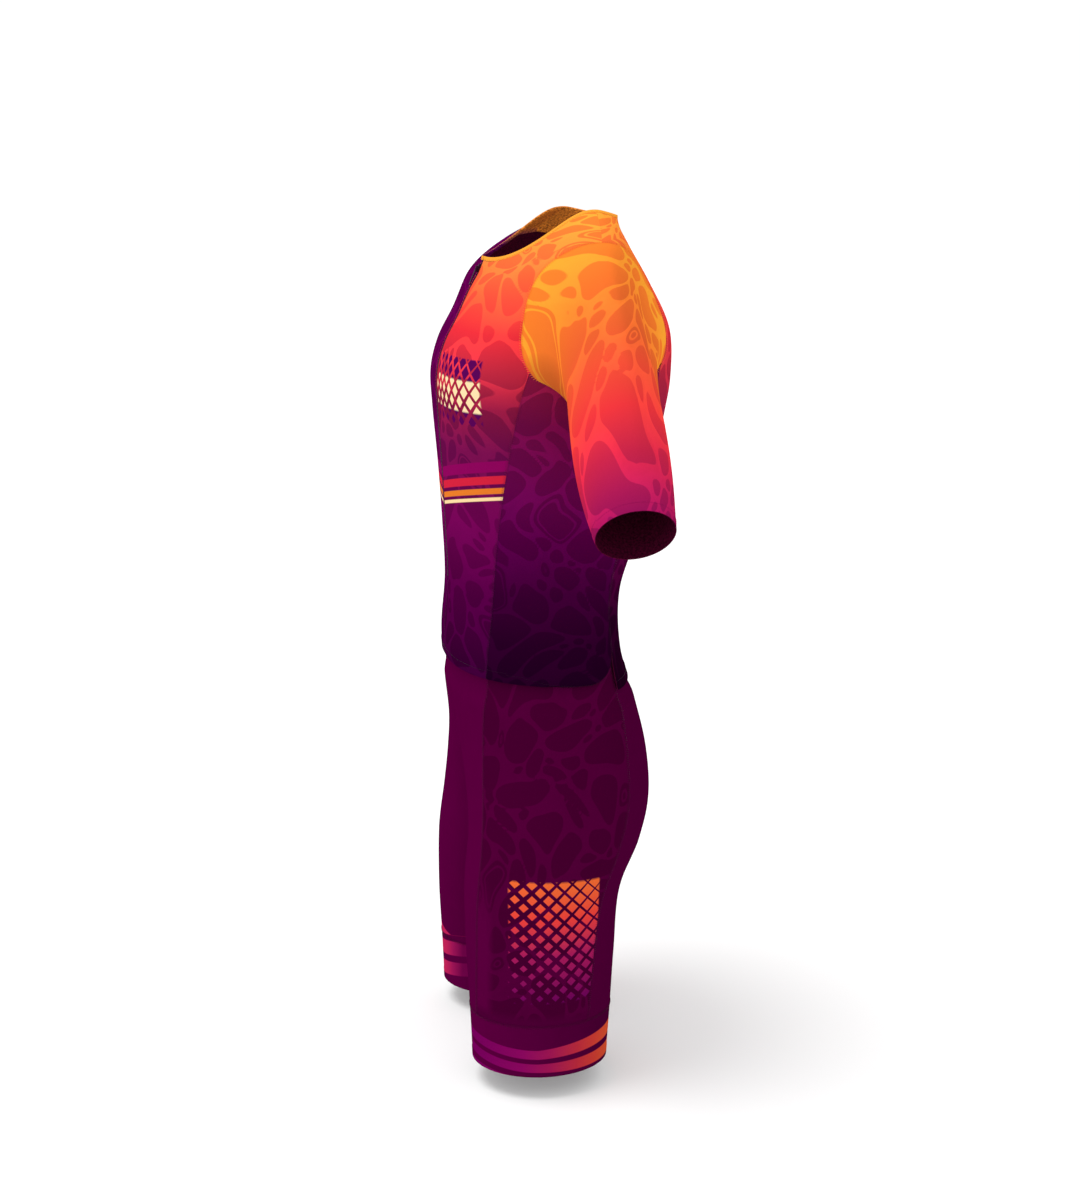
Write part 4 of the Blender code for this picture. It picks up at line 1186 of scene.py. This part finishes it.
def runs(line, out):
    """Short runs of thread along a line."""
    centre, up, along = resampled(line, out, RUN_PITCH)
    across = unit(np.cross(up, along))
    return thread_tubes(centre, RUN_HALF * along, up, 0.12 * (1 - 0.7 * STATIONS**2), across)


def thread_tubes(centre, reach, up, height, side):
    """Points and faces of thin tubes: bowed paths of five stations with a square section."""
    path = centre[:, None] + STATIONS[:, None] * reach[:, None] + height[:, None] * up[:, None]
    offsets = np.array([(1, 0), (0, 1), (-1, 0), (0, -1)]) * THREAD_RADIUS
    around = offsets[:, :1, None] * side[None, :] + offsets[:, 1:, None] * up[None, :]
    points = path[:, :, None] + np.swapaxes(around, 0, 1)[:, None]
    index = np.arange(points.size // 3).reshape(points.shape[:3])
    caps = np.concatenate([index[:, 0], index[:, -1, ::-1]])
    return points.reshape(-1, 3), np.concatenate([tube_faces(index), caps])


def joined(parts):
    """Several sets of points and faces as one."""
    starts = np.cumsum([0] + [len(points) for points, _ in parts])
    faces = [quads + start for (_, quads), start in zip(parts, starts)]
    return np.concatenate([points for points, _ in parts]), np.concatenate(faces)


def both_hands(*parts):
    """Points and faces of parts on the left, and their mirror images."""
    points, faces = joined(parts)
    return joined([(points, faces), (points * FLIP, faces[:, ::-1])])


def add_thread(name, parts, material):
    points, faces = joined(parts)
    carried(put_mesh(name, in_part_frame(points), faces.tolist(), [material]))


def round_again(cloth, line, out):
    """A line on a piece, closed where the piece is a tube."""
    if cloth.closed:
        return np.vstack([line, line[:1]]), np.vstack([out, out[:1]])
    return line, out


def edge_of(cloth, edge):
    """Points and outward directions along an edge of a piece."""
    if edge in ("start", "end"):
        column = 0 if edge == "start" else -1
        return cloth.points[:, column], cloth.normals[:, column]
    row = 0 if edge == "low" else -1
    return round_again(cloth, cloth.points[row], cloth.normals[row])


def hem_line(cloth, edge="low"):
    """Line of stitches on a piece over its low or high edge, with outward directions."""
    order = slice(None) if edge == "low" else slice(None, None, -1)
    row = np.argmax(cloth.from_edge(edge)[order] > HEM_STITCH, axis=0)
    column = np.arange(cloth.points.shape[1])
    return round_again(cloth, cloth.points[order][row, column], cloth.normals[order][row, column])


# Neck binding, zip and its slider, as the solids have them, in millimetres
BINDING_HEIGHT = 5.0
BINDING_THICKNESS = 2.2
BINDING_PROUD = 0.2
BINDING_UPRIGHT = 0.6
BINDING_SMOOTH = 26.0
BINDING_STITCH = 1.5
BINDING_LINES, BINDING_SIDES = 140, 24
NECK_BELOW = 0.3
SEAM_GAP = 0.3
TOOTH_PITCH = 1.5
TOOTH_WIDTH, TOOTH_THICKNESS, TOOTH_HEIGHT = 1.75, 0.8, 1.1
TOOTH_SUNK = 0.45
TOOTH_STATIONS = np.array([-0.25, 0.3, 0.8, 1.0])
TOOTH_REACH = np.array([0.75, 1.0, 1.0, 0.55])
TOOTH_SECTION = np.array([(-1, -1), (1, -1), (1, 0.2), (0.45, 1), (-0.45, 1), (-1, 0.2)]) * 0.5


def neck_line():
    """Neck edge from the left of the zip round the back to the right of it, and its rise."""
    level = np.array([LEVEL["neck"]])
    ends = (front_edge(level, ZIP_OPENING_HALF), level), (np.array([180.0]), level)
    angles = rows_between(*ends, np.linspace(0, 1, BINDING_LINES))[0][0]
    line = surface(angles, LEVEL["neck"])
    below = surface(angles, LEVEL["neck"] - NECK_BELOW)
    rise = unit(unit(line - below) + np.array([0.0, 0.0, BINDING_UPRIGHT]))
    line = np.concatenate([line, line[-2::-1] * FLIP])
    rise = np.concatenate([rise, rise[-2::-1] * FLIP])
    along = length_along(line, 0)
    return line, unit(bell(along[:, None] - along[None], BINDING_SMOOTH) @ rise)


def add_binding(material, inside, thread):
    """Folded binding: a rounded section, nipped in at its stitching, along the neck edge.

    The rise along the neck is averaged with a bell curve.
    """
    line, rise = neck_line()
    out = unit(np.cross(unit(np.gradient(line, axis=0)), rise))
    turn = np.linspace(0, 2 * np.pi, BINDING_SIDES + 1)[:-1]
    half = BINDING_THICKNESS / 2
    height = SEAM_GAP + BINDING_HEIGHT / 2 * (1 - signed_power(np.cos(turn), 0.5))
    nip = 0.28 * bell(height - BINDING_STITCH, 0.55)
    aside = BINDING_PROUD - half + (half - nip) * signed_power(np.sin(turn), 0.45)
    points = line[:, None] + height[None, :, None] * rise[:, None] + aside[None, :, None] * out[:, None]
    index = np.arange(points.size // 3).reshape(points.shape[:2])
    faces = [*grid_faces(closed_index(index).T).tolist(), index[0].tolist(), index[-1][::-1].tolist()]
    is_inner = np.sin(turn + turn[1] / 2) < 0.15
    slots = np.append(np.repeat(is_inner.astype(int), len(line) - 1), [0, 0])
    made = put_mesh("binding_neck", in_part_frame(points.reshape(-1, 3)), faces, [material, inside], slots)
    carried(made, "neck_binding")
    seam = line + BINDING_STITCH * rise
    add_thread("thread_binding", [runs(seam, out)], thread)


def zip_line():
    """Middle line of the zip, level with the cloth, and the direction out of it."""
    levels = np.linspace(ZIP_BOTTOM_LEVEL, ZIP_TOP_LEVEL, 400)
    points = surface(front_edge(levels, ZIP_OPENING_HALF), levels) * np.array([0.0, 1.0, 1.0])
    points = points[length_along(points, 0) >= ZIP_END_GAP]
    return points, unit(np.cross(np.gradient(points, axis=0), np.array([-1.0, 0.0, 0.0])))


def add_teeth(material):
    """Coil of the zip: bars that bow outwards, in turn from the left and the right."""
    line, out = zip_line()
    along = length_along(line, 0)
    width, tall = (
        TOOTH_SECTION[:, axis:axis + 1] * size * TOOTH_REACH[None, :, None, None]
        for axis, size in enumerate((TOOTH_THICKNESS, TOOTH_HEIGHT))
    )
    parts = []
    for side, shift in ((1.0, 0.0), (-1.0, TOOTH_PITCH / 2)):
        at = np.arange(1.0 + shift, along[-1] - 1.0, TOOTH_PITCH)
        up = unit(interpolated(at, along, out))
        ahead = unit(np.cross(np.array([1.0, 0.0, 0.0]), up))
        points = (
            interpolated(at, along, line)[:, None, None]
            + TOOTH_STATIONS[None, :, None, None] * np.array([side, 0.0, 0.0]) * TOOTH_WIDTH
            + width * ahead[:, None, None]
            + (tall - TOOTH_SUNK) * up[:, None, None]
        )
        index = np.arange(points.size // 3).reshape(points.shape[:3])
        ends = [half[:, corner] for half in (index[:, 0], index[:, -1])
                for corner in ((0, 1, 2, 5), (2, 3, 4, 5))]
        parts.append((points.reshape(-1, 3), np.concatenate([tube_faces(index), *ends])))
    points, faces = joined(parts)
    made = put_mesh("zip_teeth", in_part_frame(points), faces.tolist(), [material], smooth=False)
    work = bmesh.new()
    work.from_mesh(made.data)
    bmesh.ops.recalc_face_normals(work, faces=work.faces)
    work.to_mesh(made.data)
    work.free()
    carried(made, "zip_chain")


def node_shell(name, node, body, material, bevel):
    """A metal piece on its node's own form, with its edges rounded."""
    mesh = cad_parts[node].data.copy()
    mesh.name = name
    mesh.materials.clear()
    mesh.materials.append(material)
    made = linked(bpy.data.objects.new(name, mesh))
    work = bmesh.new()
    work.from_mesh(mesh)
    bmesh.ops.remove_doubles(work, verts=work.verts, dist=1e-6)
    bmesh.ops.dissolve_limit(work, angle_limit=0.02, verts=work.verts, edges=work.edges)
    work.to_mesh(mesh)
    work.free()
    rounding = made.modifiers.new("rounding", "BEVEL")
    rounding.width, rounding.segments = bevel, 3
    rounding.harden_normals = False
    mesh.polygons.foreach_set("use_smooth", [True] * len(mesh.polygons))
    carried(made, node, body)


def cloth_plan():
    """Pieces: name, grid, whether a tube, sewn edges, hem, print seed, slot, finishes, inside."""
    # The insides glow with painted light, an emission of their own colour
    dark = inside_material("inside_dark", (60, 4, 50), (30, 2, 24))
    inside_back = inside_material("inside_back", (236, 140, 50), (70, 6, 40), -0.035, -0.095)
    inside_front = inside_material("inside_front", (214, 120, 44), (92, 4, 80), -0.022, -0.034)
    inside_sleeve = inside_material("inside_sleeve", (84, 12, 42), (92, 10, 48), -0.1, -0.3, 0.3, -0.24)
    fronts = (
        front_material("front_print_left", FRONT_TONES, True),
        front_material("front_print_right", RIGHT_FRONT_TONES, False),
    )
    shorts_fronts = (
        plain_material("shorts_front_plain", SHORTS_FRONT_COLOUR),
        right_front_material(SHORTS_FRONT_COLOUR),
    )
    bands = (
        band_material("band_print_left", LEFT_HOOPS, LEFT_HOOP_COLOURS, left_lift),
        band_material("band_print_right", RIGHT_HOOPS, RIGHT_HOOP_COLOURS, right_lift),
    )
    sides = [cloth_material("side_print", SIDE_TONES)] * 2
    # The sleeves' print carries painted shade around the armpit.
    sleeves = [cloth_material("sleeve_print", SLEEVE_TONES, ARMPIT)] * 2
    backs = [cloth_material("back_print", BACK_TONES)]
    shorts_sides = [shorts_side_material()] * 2
    shorts_backs = [plain_material("shorts_back_plain", SHORTS_BACK_COLOUR)] * 2
    fronts_of, sides_of, backs_of = (
        shorts_panel(number, pitch) for number, pitch in enumerate((PLAIN_PITCH, PRINT_PITCH, PLAIN_PITCH))
    )
    legs = "start end low"
    return (
        ("jersey_front", jersey_front(), False, "end", "low", 11, "front_print", fronts, inside_front),
        ("jersey_side", jersey_side(), False, "start end high", "low", 12, "side_print", sides, dark),
        ("sleeve", sleeve(), True, "low", "high", 13, "sleeve_print", sleeves, inside_sleeve),
        ("shorts_front", fronts_of, False, legs, "", 0, "shorts_plain", shorts_fronts, dark),
        ("shorts_side", sides_of, False, legs, "", 14, "shorts_print", shorts_sides, dark),
        ("shorts_back", backs_of, False, legs, "", 0, "shorts_plain", shorts_backs, dark),
        ("leg_band", leg_band(), True, "high", "low", 0, "band_print", bands, dark),
        ("jersey_back", jersey_back(), False, "start end", "low", 15, "back_print", backs, inside_back),
    )


RIGHT_SEED = 20
SWAPPED = {"start": "end", "end": "start"}


def add_cloths():
    """Every piece of cloth.  Those on the left, and the back, are given by name."""
    left = {}
    for name, points, closed, sewn, hemmed, seed, slot, finishes, inside in cloth_plan():
        for is_right, finish in enumerate(finishes):
            node = name + ("_right" if is_right else "_left" if len(finishes) == 2 else "")
            edges = " ".join(SWAPPED.get(edge, edge) if is_right else edge for edge in sewn.split())
            cloth = Cloth("cloth_" + node, mirrored(points) if is_right else points, closed, edges, hemmed)
            if seed:
                add_cells(cloth, seed + is_right * RIGHT_SEED, *PRINT_SCALES.get(name, (1.0, 1.0)))
            add_cloth(cloth, finish, inside, node)
            left.setdefault(name, cloth)
    return left


def add_suit():
    """Every piece of the suit."""
    left = add_cloths()
    side_thread = thread_material("side_thread", SIDE_TONES)
    armhole_thread = plain_material("armhole_thread", (246, 140, 52), THREAD_GRAIN)
    cuff_thread = plain_material("cuff_thread", (160, 22, 96), THREAD_GRAIN)
    front_thread = thread_material("front_thread", FRONT_TONES)
    shorts_thread = thread_material("shorts_thread", SHORTS_TONES)
    seams = [bars(*edge_of(left["jersey_side"], edge)) for edge in ("start", "end")]
    add_thread("thread_jersey_seams", [both_hands(*seams)], side_thread)
    armhole = both_hands(bars(*edge_of(left["sleeve"], "low")))
    add_thread("thread_armholes", [armhole], armhole_thread)
    legs = [bars(*edge_of(left["shorts_side"], edge)) for edge in ("start", "end")]
    legs = both_hands(*legs, bars(*edge_of(left["leg_band"], "high")))
    add_thread("thread_leg_seams", [legs], shorts_thread)
    hems = both_hands(*(runs(*hem_line(left[name])) for name in ("jersey_front", "jersey_side")))
    add_thread("thread_hems", [hems, runs(*hem_line(left["jersey_back"]))], side_thread)
    cuff = both_hands(runs(*hem_line(left["sleeve"], "high")))
    add_thread("thread_cuffs", [cuff], cuff_thread)
    zip_edge = both_hands(runs(left["jersey_front"].points[:, 2], left["jersey_front"].normals[:, 2]))
    add_thread("thread_zip", [zip_edge], front_thread)
    # The binding's inside also glows with painted light
    inside_binding = inside_material("inside_binding", (236, 140, 50), (92, 6, 80), -0.020, -0.038, 0.4)
    add_binding(plain_material("binding_knit", (255, 168, 58)), inside_binding, front_thread)
    add_teeth(dark_material("zip_coil", (15, 11, 15), 0.38, 0.002))
    metal = dark_material("zip_enamel", (34, 2, 28), 0.6, 0.003)
    node_shell("slider_metal", "zip_slider", "suit", metal, 0.0003)
    node_shell("pull_metal", "zip_pull", "pull", metal, 0.00025)
    tape = tape_material()
    for node in ("zip_tape_left", "zip_tape_right"):
        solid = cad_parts[node]
        solid.data.materials.clear()
        solid.data.materials.append(tape)


# Camera at the photograph's angle, floor and light, in degrees and metres
CAMERA_AZIMUTH = 79.5
CAMERA_ELEVATION = 12.0
CAMERA_DISTANCE = 2.25
CAMERA_TARGET = (0.0, -0.042, -0.417)
PHOTO_HEIGHT = 1187.0
PHOTO_FOCAL = 2030.0
SENSOR = 36.0
SUN_FROM = (0.0, -0.35, 1.0)
SUN_ENERGY = 1.3
SUN_ANGLE = 30.0
FLOOR_BELOW_HEMS = 0.026
FLOOR_HALF = 25.0
FLOOR_COLOUR = (0.76, 0.76, 0.76, 1.0)
FLOOR_GLOW = 0.19


def add_camera():
    data = bpy.data.cameras.new("camera")
    data.sensor_width = SENSOR
    data.lens = SENSOR * PHOTO_FOCAL / PHOTO_HEIGHT
    data.clip_end = 60.0
    made = linked(bpy.data.objects.new("camera", data))
    azimuth, elevation = math.radians(CAMERA_AZIMUTH), math.radians(CAMERA_ELEVATION)
    back = Vector((
        math.sin(azimuth) * math.cos(elevation),
        -math.cos(azimuth) * math.cos(elevation),
        math.sin(elevation),
    ))
    made.location = Vector(CAMERA_TARGET) + CAMERA_DISTANCE * back
    made.rotation_euler = (-back).to_track_quat("-Z", "Y").to_euler()
    bpy.context.scene.camera = made


def add_studio():
    """Plain white floor just below the leg hems, white surroundings and one broad soft light.

    Behind the suit, out of the picture, the surroundings fade to a pale grey.
    """
    half, low = FLOOR_HALF, CAD_BOX[0][2] - FLOOR_BELOW_HEMS
    corners = [(-half, -half, low), (half, -half, low), (half, half, low), (-half, half, low)]
    paint = Paint(
        "floor", Roughness=0.9, Specular_IOR_Level=0.0, Base_Color=FLOOR_COLOUR,
        Emission_Color=WHITE, Emission_Strength=FLOOR_GLOW,
    )
    put_mesh("floor", corners, [(0, 1, 2, 3)], [paint.material], smooth=False)
    world = bpy.data.worlds.new("studio")
    sky = Tree(world)
    background = sky.nodes["Background"]
    background.inputs["Color"].default_value = WHITE
    behind = sky.axes(sky.node("ShaderNodeTexCoord", output="Generated"), "Y")[0]
    strength = behind.step(1.0, 0.47) * 0.4 + 0.62
    sky.links.new(strength.socket, background.inputs["Strength"])
    bpy.context.scene.world = world
    data = bpy.data.lights.new("window", "SUN")
    data.energy = SUN_ENERGY
    data.angle = math.radians(SUN_ANGLE)
    made = linked(bpy.data.objects.new("window", data))
    made.rotation_euler = Vector(SUN_FROM).to_track_quat("Z", "Y").to_euler()
    bpy.context.scene.view_settings.view_transform = "Standard"


add_suit()
add_camera()
add_studio()
